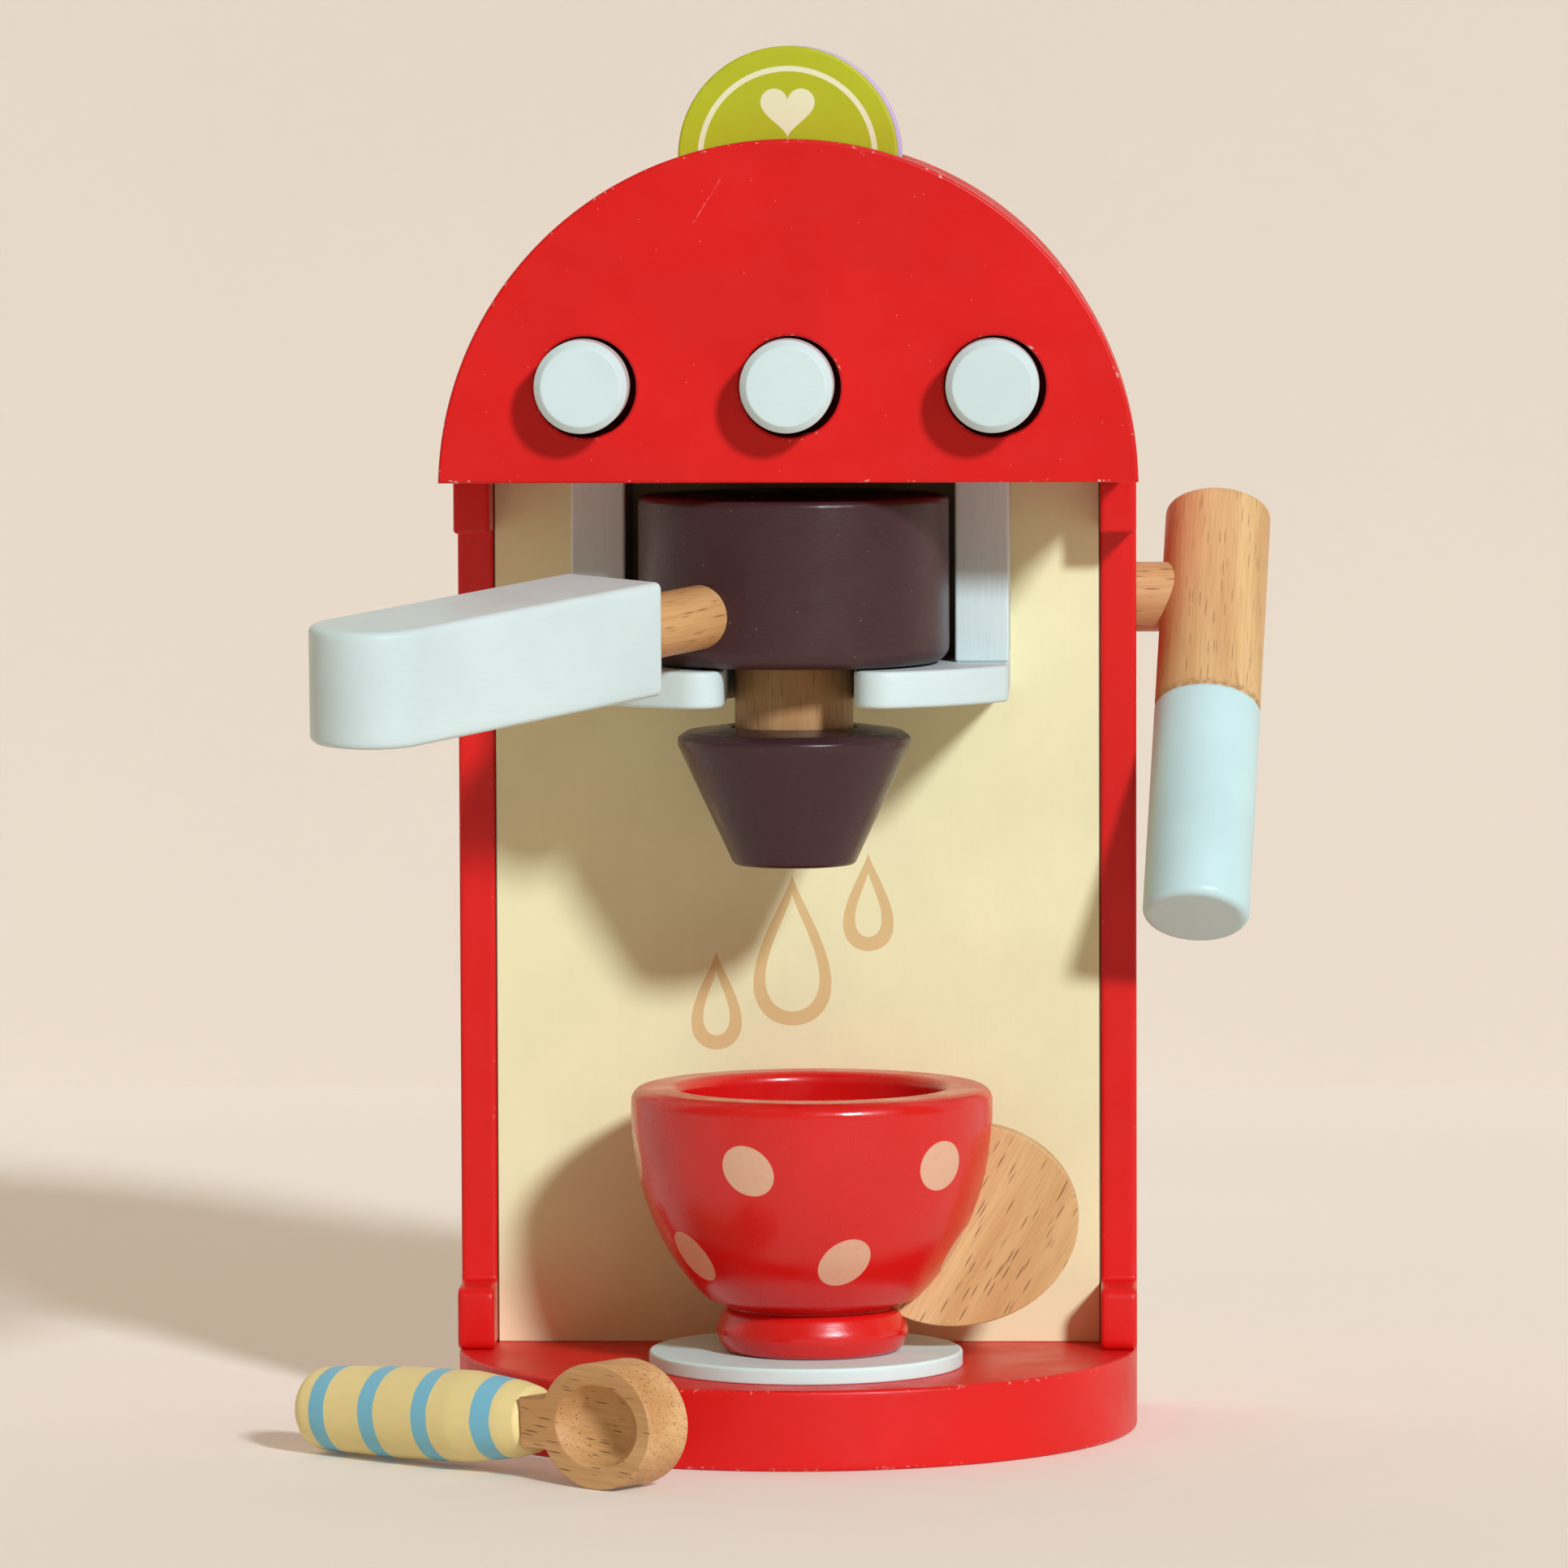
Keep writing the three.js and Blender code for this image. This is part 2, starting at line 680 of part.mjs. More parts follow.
function leverGrip() {
  const quarter = Math.PI / 2;
  const inner = gripRadius - gripEdge;
  const profile = [
    [0, -gripBelowAxle],
    ...arc(inner, gripEdge - gripBelowAxle, gripEdge, gripEdge, -quarter, 0, edgeSteps),
    ...arc(inner, gripAboveAxle - gripEdge, gripEdge, gripEdge, 0, quarter, edgeSteps),
    [0, gripAboveAxle],
  ];
  const mesh = piece("lever_grip", turnedUp(profile, roundSides), beech, gripX, axleY, axleZ);
  mesh.rotation.set(gripTilt, gripLean, 0);
  const reach = gripStandoff + gripSocketDepth + glueGap;
  const bore = turnedAlong(rod(axleRadius + glueGap, reach), roundSides);
  cutPosed(mesh, piece("", bore, beech, gripX - gripRadius - gripStandoff, axleY, axleZ));
  return mesh;
}

// Outer side of the cup from its foot up to its widest place, each point moved out by a gap
function cupOuterProfile(gap) {
  const coveTop = cupNeckHeight + cupCoveHeight;
  const start = Math.asin((cupWidestHeight - coveTop) / cupBowlDrop);
  const footEdge = arc(cupFootRadius - cupFootEdge, cupFootEdge, cupFootEdge, cupFootEdge,
    -Math.PI / 2, 0, edgeSteps);
  const bowl = arc(0, cupWidestHeight, cupRadius, cupBowlDrop, -start, 0, profileSteps);
  const points = [...footEdge, [cupFootRadius, cupFootHeight - cupFootEdge],
    [cupNeckRadius, cupNeckHeight], ...bowl];
  return points.map(([radius, height]) => [radius + gap, height]);
}

function cupBowl() {
  const lip = (cupRadius - cupOpeningRadius) / 2;
  const profile = [
    [0, 0], ...cupOuterProfile(0),
    ...arc(cupRadius - lip, cupWidestHeight, lip, lip, 0, Math.PI, 2 * edgeSteps).slice(1),
    ...arc(0, cupWidestHeight, cupOpeningRadius, cupInnerDepth, 0, -Math.PI / 2, profileSteps).slice(1, -1),
    [0, cupWidestHeight - cupInnerDepth],
  ];
  return piece("cup_bowl", turnedUp(profile, fineSides), redPaint, cupSideShift, cupY, coasterTop);
}

// Oval plate beside the cup, cut away where the cup is
function cupHandle() {
  const shape = new THREE.Shape();
  shape.absellipse(earSideReach, earHeight, earLongRadius, earShortRadius, 0, 2 * Math.PI, false, earTurn);
  const plate = frontBoard(shape, earThickness).translate(0, -earThickness / 2, 0);
  const body = [[0, -cutOverrun], [cupFootRadius, -cutOverrun], ...cupOuterProfile(earSeatGap).slice(1),
    [cupRadius + earSeatGap, 2 * cupWidestHeight], [0, 2 * cupWidestHeight]];
  const ear = cut(plate, turnedUp(body, fineSides));
  return piece("cup_handle", ear, beech, cupSideShift, cupY, coasterTop);
}

// Group posed along the spoon: local +X runs from the handle's round end to the bowl
function spoon() {
  const climb = Math.asin((spoonBowlRadius - spoonTailRadius) / spoonBowlDistance);
  const group = new THREE.Group();
  group.position.set(spoonTailSide, spoonTailFront, spoonTailRadius);
  group.rotation.set(0, -climb, spoonTurn, "ZYX");
  group.add(
    piece("spoon_handle", spoonHandleGeometry(), yellowPaint),
    piece("spoon_bowl", spoonBowlGeometry(), beech),
  );
  return group;
}

function spoonHandleGeometry() {
  const middle = (spoonHandleLength - spoonShoulderLength) / 2;
  const profile = [
    [0, 0],
    ...arc(spoonTailRadius - spoonTailEdge, spoonTailEdge, spoonTailEdge, spoonTailEdge,
      -Math.PI / 2, 0, edgeSteps),
    [spoonHandleRadius, middle], [spoonHandleRadius, spoonHandleLength - spoonShoulderLength],
    [spoonEndRadius, spoonHandleLength], [0, spoonHandleLength],
  ];
  const socketLength = spoonPegLength + glueGap + cutOverrun;
  const socket = turnedAlong(rod(spoonPegRadius + glueGap, socketLength), smallSides)
    .translate(spoonHandleLength - spoonPegLength - glueGap, 0, 0);
  return cut(turnedAlong(profile, smallSides), socket);
}

// Oval block with a flat shank, a peg into the handle and a shallow oval recess in its front face
function spoonBowlGeometry() {
  const shankStart = spoonHandleLength + glueGap;
  const half = spoonShankHeight / 2;
  const meet = Math.asin(half / spoonBowlRadius);
  const shape = new THREE.Shape();
  shape.moveTo(shankStart, half);
  shape.lineTo(shankStart, -half);
  shape.absellipse(spoonBowlDistance, 0, spoonBowlHalfLength, spoonBowlRadius,
    meet - Math.PI, Math.PI - meet, false, 0);
  const front = -spoonBowlThickness / 2;
  const body = frontBoard(shape, spoonBowlThickness).translate(0, front, 0);
  const peg = turnedAlong(rod(spoonPegRadius, spoonPegLength + cutOverrun), smallSides)
    .translate(shankStart - spoonPegLength, 0, 0);
  const slope = (spoonRecessRadius - spoonRecessFloorRadius) / spoonRecessDepth;
  const recess = turnedBack([
    [0, -cutOverrun], [spoonRecessRadius + slope * cutOverrun, -cutOverrun],
    [spoonRecessFloorRadius, spoonRecessDepth], [0, spoonRecessDepth],
  ], smallSides).scale(spoonBowlHalfLength / spoonBowlRadius, 1, 1).translate(spoonBowlDistance, front, 0);
  return cut(join(body, peg), recess);
}

const coffeeMaker = new THREE.Group();
coffeeMaker.add(
  basePlate(), coaster(), leftSidePanel(), rightSidePanel(), backPanel(),
  frontFacade(), slotSpacer(), innerDome(), roofShell(), rearDomePanel(), headFloor(),
  ...discs(), ...buttonSet(),
  ...holderArms(), forkPlate(),
  filterCylinder(), filterNeck(), filterNozzle(), filterHandle(),
  leverAxle(), leverCollar(), leverGrip(),
  cupBowl(), cupHandle(), spoon(),
);

export default coffeeMaker;
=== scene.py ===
"""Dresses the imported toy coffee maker: painted boards, turned wood, prints, studio light and camera."""

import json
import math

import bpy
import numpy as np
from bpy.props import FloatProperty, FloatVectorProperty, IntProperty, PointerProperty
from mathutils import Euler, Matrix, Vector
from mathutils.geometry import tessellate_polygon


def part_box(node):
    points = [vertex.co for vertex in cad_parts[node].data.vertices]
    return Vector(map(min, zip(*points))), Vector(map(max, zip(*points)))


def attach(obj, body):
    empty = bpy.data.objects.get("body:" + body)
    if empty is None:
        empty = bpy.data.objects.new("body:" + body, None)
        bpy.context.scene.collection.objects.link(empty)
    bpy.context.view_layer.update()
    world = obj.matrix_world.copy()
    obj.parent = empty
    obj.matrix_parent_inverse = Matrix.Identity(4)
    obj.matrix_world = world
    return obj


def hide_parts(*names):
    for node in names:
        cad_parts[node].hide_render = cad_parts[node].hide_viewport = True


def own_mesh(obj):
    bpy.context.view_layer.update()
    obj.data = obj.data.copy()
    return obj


bl_info = {
    "name": "Toy Coffee Maker",
    "version": (1, 0, 0),
    "blender": (4, 5, 0),
    "location": "View3D > Sidebar > Coffee Maker",
    "description": "Builds the painted wooden coffee maker on its packed frame",
    "category": "Object",
}

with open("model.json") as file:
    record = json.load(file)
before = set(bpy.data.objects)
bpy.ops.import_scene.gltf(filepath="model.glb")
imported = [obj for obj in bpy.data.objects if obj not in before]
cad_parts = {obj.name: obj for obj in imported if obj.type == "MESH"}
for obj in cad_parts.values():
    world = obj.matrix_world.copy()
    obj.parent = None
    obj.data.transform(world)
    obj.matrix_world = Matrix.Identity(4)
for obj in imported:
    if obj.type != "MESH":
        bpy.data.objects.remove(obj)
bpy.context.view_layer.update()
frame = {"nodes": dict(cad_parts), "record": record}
MM = 0.001
SIDES = ("left", "middle", "right")


# Settings that a user would change

def colour(name, description, *levels):
    """Colour property from sRGB levels of 0 to 255, kept as linear light."""
    shares = np.array(levels) / 255.0
    linear = np.where(shares <= 0.04045, shares / 12.92, ((shares + 0.055) / 1.055) ** 2.4)
    return FloatVectorProperty(name=name, description=description, subtype="COLOR", size=3,
                               min=0.0, max=1.0, default=tuple(float(v) for v in linear))


def length(name, description, millimetres):
    return FloatProperty(name=name, description=description, default=millimetres * MM,
                         min=0.0, unit="LENGTH", precision=5)


def angle(name, description, degrees):
    return FloatProperty(name=name, description=description, default=math.radians(degrees), subtype="ANGLE")


def plain(name, description, value):
    return FloatProperty(name=name, description=description, default=value)


class CoffeePaints(bpy.types.PropertyGroup):
    red: colour("Red", "Paint of the body and the cup", 223, 23, 21)
    blue: colour("Pale blue", "Paint of the buttons, holder, handle and coaster", 212, 230, 229)
    lever_blue: colour("Lever blue", "Paint that the lever's grip is dipped in", 199, 230, 231)
    cream: colour("Cream", "Paint of the back panel", 243, 236, 189)
    brown: colour("Dark brown", "Paint of the filter", 67, 41, 44)
    lime: colour("Lime", "Paint of the front disc", 186, 192, 29)
    lilac: colour("Lilac", "Paint of the rear disc", 205, 180, 220)
    yellow: colour("Yellow", "Paint of the spoon's handle", 247, 226, 157)
    stripe: colour("Stripe blue", "Stripes on the spoon's handle", 128, 199, 224)
    dot: colour("Dot", "Polka dots on the cup", 226, 177, 146)
    tan: colour("Tan", "Print on the back panel", 226, 194, 136)
    ivory: colour("Ivory", "Print on the front disc", 238, 238, 196)
    primer: colour("Primer", "Pale undercoat that shows where an edge is worn", 240, 214, 200)
    beech_light: colour("Beech, light", "Early wood of the bare beech", 232, 193, 137)
    beech_dark: colour("Beech, dark", "Late wood of the bare beech", 207, 158, 102)
    pore: colour("Pores", "Short dark pores of the beech", 112, 70, 40)


class CoffeeShapes(bpy.types.PropertyGroup):
    board_edge: length("Board edge", "Rounding along the edges of the painted boards", 0.7)
    holder_edge: length("Holder edge", "Rounding along the edges of the fork plate", 0.7)
    handle_edge: length("Handle edge", "Rounding along the edges of the filter's handle", 1.2)
    toe_radius: length("Toe radius", "Corners of the side panels' feet", 2.0)
    button_chamfer: length("Button chamfer", "Chamfer round the front of a button", 1.2)
    slot_corner: length("Slot corner", "Inner corners of the slot for the discs", 3.0)
    axle_radius: length("Axle radius", "Lever's axle", 6.2)
    dowel_radius: length("Dowel radius", "Dowel between the filter and its handle", 5.5)
    stem_radius: length("Stem radius", "Stem behind each button", 3.0)
    handle_turn: angle("Handle turn", "Filter handle's heading, from the front toward the left", 35)
    handle_droop: angle("Handle droop", "Fall of the filter's handle toward its outer end", 4.1)
    handle_roll: angle("Handle roll", "Turn of the filter's handle about its dowel", -2.8)
    grip_tilt: angle("Grip tilt", "Lever's grip, lower end toward the front", -34)
    grip_lean: angle("Grip lean", "Lever's grip, lower end toward the post", 3.08)
    spoon_turn: angle("Spoon turn", "Heading of the spoon on the floor", -39)
    ear_turn: angle("Ear turn", "Turn of the cup's oval handle", 10.7)
    sides: IntProperty(name="Sides", description="Facets round each turned piece", default=128, min=24)


class CoffeeStage(bpy.types.PropertyGroup):
    floor: colour("Floor", "Floor of the studio", 240, 231, 220)
    wall: colour("Wall", "Wall of the studio", 229, 217, 203)
    wall_distance: length("Wall distance", "From the object's origin back to the wall", 567)
    camera_distance: length("Camera distance", "How far in front of the origin the camera stands", 1794)
    camera_height: length("Camera height", "Height of the camera above the floor", 249.7)
    camera_side: length("Camera side", "How far right of the origin the camera stands", 56.09)
    camera_yaw: angle("Camera yaw", "Turn of the camera toward the left", 1.861)
    camera_pitch: angle("Camera pitch", "Downward tilt of the camera", 4.3275)
    camera_roll: angle("Camera roll", "Turn of the camera about its own view", -0.2024)
    focal_pixels: plain("Focal length", "In pixels of a 1932 pixel frame", 12562)
    sun_strength: plain("Sun strength", "Strength of the key light", 2.75)
    sun_angle: angle("Sun angle", "Width of the key light, which softens its shadows", 7)
    floor_lift: plain("Floor lift", "Paleness of the floor to the camera", 0.11)
    wall_lift: plain("Wall lift", "Paleness of the wall to the camera", 0.0)
    fill_strength: plain("Fill strength", "Strength of the surrounding light", 0.247)


# Surfaces

def unit(vectors):
    return vectors / np.linalg.norm(vectors, axis=-1, keepdims=True)


def arc(centre, radii, start, end, steps):
    """Points centre + (a cos t, b sin t) for t from start to end, where radii is (a, b) or one radius."""
    turn = np.linspace(start, end, steps + 1)
    return np.asarray(centre) + np.asarray(radii) * np.stack([np.cos(turn), np.sin(turn)], axis=1)


def ring(centre, radii, steps, hole=False):
    """Closed ellipse with the wood on its left, which is inside it, or outside where it is a hole."""
    return arc(centre, radii, 0.0, -math.tau if hole else math.tau, steps)[:-1]


def fillet(corner, before, after, radius, steps):
    """Round one corner: a circle that touches both edges at radius / tan(half the inner angle)."""
    a, b = unit(before - corner), unit(after - corner)
    half = math.acos(float(np.clip(a @ b, -1.0, 1.0))) / 2.0
    if radius <= 0.0 or half > math.radians(89):
        return corner[None, :]
    reach = radius / math.tan(half)
    centre = corner + unit(a + b) * radius / math.sin(half)
    first, last = corner + a * reach - centre, corner + b * reach - centre
    start = math.atan2(first[1], first[0])
    turn = math.atan2(first[0] * last[1] - first[1] * last[0], float(first @ last))
    return arc(centre, radius, start, start + turn, steps)


def rounded(corners, closed=False, steps=5):
    """Path through (x, y, radius) corners with each corner rounded by its radius."""
    *points, radii = np.array(corners, dtype=float).T
    points = np.stack(points, axis=1)
    count = len(points)
    return np.concatenate([
        points[i:i + 1] if not closed and i in (0, count - 1) else
        fillet(points[i], points[i - 1], points[(i + 1) % count], radii[i], steps) for i in range(count)])


def square_loop(low, high, radius, steps=4):
    """Rectangle with rounded corners, wood on its left."""
    (left, bottom), (right, top) = low, high
    return rounded([(left, bottom, radius), (right, bottom, radius), (right, top, radius), (left, top, radius)],
                   True, steps)


def rod(radius, size, low_edge, high_edge, steps=5):
    """Profile of a straight rod with its two ends rounded, as (radius, distance)."""
    return rounded([(0, 0, 0), (radius, 0, low_edge), (radius, size, high_edge), (0, size, 0)], steps=steps)


def supported(profile, near=0.35 * MM):
    """Profile with two extra points near the ends of each long straight, which keep it straight when shaded."""
    step = np.diff(profile, axis=0)
    size = np.linalg.norm(step, axis=1)
    long = size > 4 * near
    share = near / np.maximum(size, near)
    first = (profile[:-1] + step * share[:, None])[long]
    last = (profile[1:] - step * share[:, None])[long]
    places = np.arange(len(size))[long]
    keys = np.concatenate([np.arange(len(profile)), places + 0.3, places + 0.6])
    return np.concatenate([profile, first, last])[np.argsort(keys, kind="stable")]


def inset_loop(loop, inset):
    """Loop moved to its left: each point slides along its bisector by inset over the cosine of half the turn."""
    along = unit(np.roll(loop, -1, axis=0) - loop)
    left = np.stack([-along[:, 1], along[:, 0]], axis=1)
    bisector = unit(left + np.roll(left, 1, axis=0))
    return loop + inset * bisector / np.sum(bisector * left, axis=1)[:, None]


def grid_quads(rows, columns, first):
    """Quads of a grid that closes on itself along its columns."""
    at = first + np.arange(rows * columns).reshape(rows, columns)
    right = np.roll(at, -1, axis=1)
    return np.stack([at[:-1], right[:-1], right[1:], at[1:]], axis=-1).reshape(-1, 4)


def fill(points, loops, flip):
    """Triangles that fill the first loop around the others, all turned the same way."""
    outlines = [[Vector((*points[i, :2], 0.0)) for i in loop] for loop in loops]
    corners = np.concatenate(loops)[np.array(tessellate_polygon(outlines))]
    a, b, c = (points[corners[:, k], :2] for k in range(3))
    area = (b[:, 0] - a[:, 0]) * (c[:, 1] - a[:, 1]) - (b[:, 1] - a[:, 1]) * (c[:, 0] - a[:, 0])
    kept = np.abs(area) > 1e-16
    corners, wrong = corners[kept], (area[kept] > 0) == flip
    corners[wrong] = corners[wrong][:, ::-1]
    return corners


class Surface:
    """Points and faces of one piece, with a smooth mark, an edge mark and a material for each face."""

    def __init__(self):
        self.points, self.faces, self.marks, self.count = [], [], [], 0

    def add_points(self, points):
        """Add points, and return their indices."""
        self.points.append(np.asarray(points, dtype=float))
        self.count += len(points)
        return np.arange(self.count - len(points), self.count)

    def add_faces(self, faces, smooth=True, edge=0.0, material=0):
        self.faces.extend(faces.tolist())
        self.marks.extend([(smooth, edge, material)] * len(faces))

    def add_fan(self, rim, tip, smooth, flip):
        """Triangles from a closed row of points to one tip."""
        pole, after = np.full(len(rim), self.add_points([tip])[0]), np.roll(rim, -1)
        self.add_faces(np.stack([after, rim, pole] if flip else [rim, after, pole], axis=1), smooth)

    def face_outward(self):
        """Turn all the faces over if the volume that they enclose, a sum of a . (b x c), is below zero."""
        points = np.concatenate(self.points)
        triangles = np.array([(f[0], f[i], f[i + 1]) for f in self.faces for i in range(1, len(f) - 1)])
        a, b, c = (points[triangles[:, k]] for k in range(3))
        if np.sum(a * np.cross(b, c)) < 0:
            self.faces = [face[::-1] for face in self.faces]

    def placed(self, origin, axes):
        """Move the surface, from its own axes to the three that are given, and from its origin."""
        self.points = [np.concatenate(self.points) @ np.array(axes) + np.array(origin)]
        self.face_outward()
        return self


def board(loops, low, high, edge, prints=(), steps=4):
    """Flat board: each loop is carried along a profile of two quarter rounds, then both sides are filled.
    Loops have the wood on their left. Prints lie in the low side, as (outline, hole, [islands in the hole])."""
    surface = Surface()
    turn = np.linspace(0.0, math.pi / 2, steps + 1)
    inset, lift = edge * (1 - np.sin(turn)), edge * (1 - np.cos(turn))
    insets = np.concatenate([inset, [0.0, 0.0], inset[::-1]])
    near = min(edge, (high - low) / 8)
    heights = np.concatenate([low + lift, [low + edge + near, high - edge - near], (high - lift)[::-1]])
    rows = len(insets)
    near_rims, far_rims = [], []
    for loop in loops:
        count = len(loop)
        points = surface.add_points(np.concatenate([
            np.column_stack([inset_loop(loop, d), np.full(count, h)]) for d, h in zip(insets, heights)]))
        quads = grid_quads(rows, count, points[0])
        row = np.repeat(np.arange(rows - 1), count)
        on_edge = (row < steps) | (row >= rows - 1 - steps)
        surface.add_faces(quads[on_edge], edge=1.0)
        surface.add_faces(quads[~on_edge])
        near_rims.append(points[:count])
        far_rims.append(points[-count:])
    printed = [[surface.add_points(np.column_stack([path, np.full(len(path), low)]))
                for path in (outline, hole, *islands)] for outline, hole, islands in prints]
    points = np.concatenate(surface.points)
    surface.add_faces(fill(points, near_rims + [rims[0] for rims in printed], True), smooth=False)
    surface.add_faces(fill(points, far_rims, False), smooth=False)
    for band, hole, *islands in printed:
        areas = [([band, hole], 1), ([hole, *islands], 0), *(([island], 1) for island in islands)]
        for rims, material in areas:
            surface.add_faces(fill(points, rims, True), smooth=False, material=material)
    return surface


def turned(profile, sides):
    """Surface of revolution of (radius, distance) pairs: (r cos a, r sin a, d), closed by a fan at both ends."""
    profile = supported(np.asarray(profile, dtype=float))
    surface = Surface()
    turn = np.linspace(0.0, math.tau, sides, endpoint=False)
    radius, distance = profile[1:-1, 0][:, None], profile[1:-1, 1][:, None]
    grid = np.stack([radius * np.cos(turn), radius * np.sin(turn), distance + 0 * turn], axis=-1)
    points = surface.add_points(grid.reshape(-1, 3))
    surface.add_faces(grid_quads(len(grid), sides, 0))
    surface.add_fan(points[:sides], (0, 0, profile[0, 1]), False, True)
    surface.add_fan(points[-sides:], (0, 0, profile[-1, 1]), False, False)
    return surface


class Box:
    """Low and high corner of a CAD node at rest, its middle, size and half size."""

    def __init__(self, node):
        self.low, self.high = (np.array(corner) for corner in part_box(node))
        self.middle, self.size = (self.low + self.high) / 2, self.high - self.low
        self.half = self.size / 2


def add_object(name, data):
    """Object with this data, linked to the scene."""
    item = bpy.data.objects.new(name, data)
    bpy.context.scene.collection.objects.link(item)
    return item


def body_of(node):
    bodies = frame["record"]["behaviour"]["bodies"]
    return next(name for name, nodes in bodies.items() if node in nodes)


def make_piece(name, node, slot, surface, *materials):
    """Turn a surface into an object that stands for its CAD node and rides on the node's body."""
    mesh = bpy.data.meshes.new(name)
    mesh.from_pydata(np.concatenate(surface.points), [], surface.faces)
    for material in materials:
        mesh.materials.append(material)
    smooth, edge, index = (np.array(column) for column in zip(*surface.marks))
    mesh.polygons.foreach_set("use_smooth", smooth.astype(bool))
    mesh.polygons.foreach_set("material_index", index.astype(np.int32))
    marks = mesh.attributes.new("edge", "FLOAT", "CORNER")
    marks.data.foreach_set("value", np.repeat(edge, [len(face) for face in surface.faces]).astype(np.float32))
    mesh.update()
    piece = add_object(name, mesh)
    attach(piece, body_of(node))
    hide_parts(node)
    return piece


# Where x, y and thickness of a drawing point, by the axis that the thickness runs along
DRAWN = {"X": ((0, 1, 0), (0, 0, 1), (1, 0, 0)),
         "Y": ((1, 0, 0), (0, 0, 1), (0, 1, 0)),
         "Z": ((1, 0, 0), (0, 1, 0), (0, 0, 1))}


def make_board(name, node, slot, axis, loops, edge, *materials, prints=(), steps=4, lead=0.0):
    """Board where its node is, drawn in CAD coordinates, with its low side moved out by lead."""
    box, k = Box(node), "XYZ".index(axis)
    surface = board(loops, box.low[k] - lead, box.high[k], edge, prints, steps)
    make_piece(name, node, slot, surface.placed((0, 0, 0), DRAWN[axis]), *materials)


def make_turned(name, node, slot, axis, profile, sides, material):
    """Turned piece where its node is, its profile's distance counted from the node's low side."""
    box, k = Box(node), "XYZ".index(axis)
    box.middle[k] = box.low[k]
    make_piece(name, node, slot, turned(profile, sides).placed(box.middle, DRAWN[axis]), material)


def axes_of(matrix):
    """The directions that a turn gives X, Y and Z."""
    return [matrix.col[k].copy() for k in range(3)]


# Materials

def paint(name):
    return tuple(getattr(bpy.context.scene.coffee_paints, name))


def scaled(shade, factor):
    """Shade times a factor, or times one factor for each channel."""
    return tuple(float(v) for v in np.minimum(np.multiply(shade, factor), 1.0))


def blend_shaders(tree, factor, first, second, output):
    """Mix two shaders by a factor, into a tree's output."""
    blend = tree.nodes.new("ShaderNodeMixShader")
    for socket, source in zip(blend.inputs, (factor, first, second)):
        tree.links.new(source, socket)
    tree.links.new(blend.outputs[0], output.inputs["Surface"])


class Recipe:
    """One material under construction: adds nodes, sets or links their inputs."""

    def __init__(self, name):
        self.material = bpy.data.materials.new(name)
        self.material.use_nodes = True
        self.tree = self.material.node_tree
        self.shader, self.output = (next(n for n in self.tree.nodes if n.type == kind)
                                    for kind in ("BSDF_PRINCIPLED", "OUTPUT_MATERIAL"))

    def put(self, socket, value):
        if isinstance(value, bpy.types.NodeSocket):
            self.tree.links.new(value, socket)
        else:
            socket.default_value = value

    def add(self, kind, inputs=(), **settings):
        """Add a node, and return its outputs."""
        node = self.tree.nodes.new("ShaderNode" + kind)
        for key, value in settings.items():
            setattr(node, key, value)
        for key, value in dict(inputs).items():
            self.put(node.inputs[key], value)
        return node.outputs

    def math(self, operation, *values):
        return self.add("Math", dict(enumerate(values)), operation=operation)[0]

    def times(self, *values):
        return self.math("MULTIPLY", *values)

    def vector(self, operation, *values):
        outputs = self.add("VectorMath", dict(enumerate(values)), operation=operation)
        return outputs["Value" if operation in ("DOT_PRODUCT", "LENGTH") else "Vector"]

    def stretched(self, vector, *factors):
        return self.vector("MULTIPLY", vector, factors)

    def range(self, value, low, high, to_low=0.0, to_high=1.0):
        """Smooth step from to_low at low to to_high at high."""
        inputs = {"Value": value, "From Min": low, "From Max": high, "To Min": to_low, "To Max": to_high}
        return self.add("MapRange", inputs, interpolation_type="SMOOTHSTEP")["Result"]

    def mix(self, factor, first, second):
        node = self.tree.nodes.new("ShaderNodeMix")
        node.data_type = "RGBA"
        self.put(node.inputs["Factor"], factor)
        for key, value in (("A", first), ("B", second)):
            socket = next(s for s in node.inputs if s.name == key and s.type == "RGBA")
            self.put(socket, value if isinstance(value, bpy.types.NodeSocket) else (*value, 1.0))
        return next(s for s in node.outputs if s.type == "RGBA")

    def noise(self, vector, scale, detail=2.0, roughness=0.5):
        inputs = {"Vector": vector, "Scale": scale, "Detail": detail, "Roughness": roughness}
        return self.add("TexNoise", inputs)[0]

    def object_point(self):
        return self.add("TexCoord")["Object"]

    def place(self, direction=(0, 0, 1), origin=(0, 0, 0)):
        """Object coordinates in millimetres from origin, turned so that Z runs along direction."""
        along = Vector(direction).normalized()
        side = along.orthogonal().normalized()
        offset = self.vector("SUBTRACT", self.object_point(), tuple(origin))
        axes = side, along.cross(side), along
        parts = [self.vector("DOT_PRODUCT", offset, tuple(axis / MM)) for axis in axes]
        return self.add("CombineXYZ", dict(enumerate(parts)))[0]

    def axis(self, vector, letter):
        return self.add("SeparateXYZ", {"Vector": vector})[letter]

    def bumps(self, *heights):
        """Bump nodes in a chain, one for each (height, strength, depth in mm)."""
        chain = {}
        for height, strength, depth in heights:
            inputs = {"Height": height, "Strength": strength, "Distance": depth * MM, **chain}
            chain = {"Normal": self.add("Bump", inputs)["Normal"]}
        self.put(self.shader.inputs["Normal"], chain["Normal"])

    def finish(self, base, roughness, specular=0.5, metallic=0.0):
        for key, value in (("Base Color", base), ("Roughness", roughness), ("Metallic", metallic),
                           ("Specular IOR Level", specular)):
            self.put(self.shader.inputs[key], value)
        return self.material


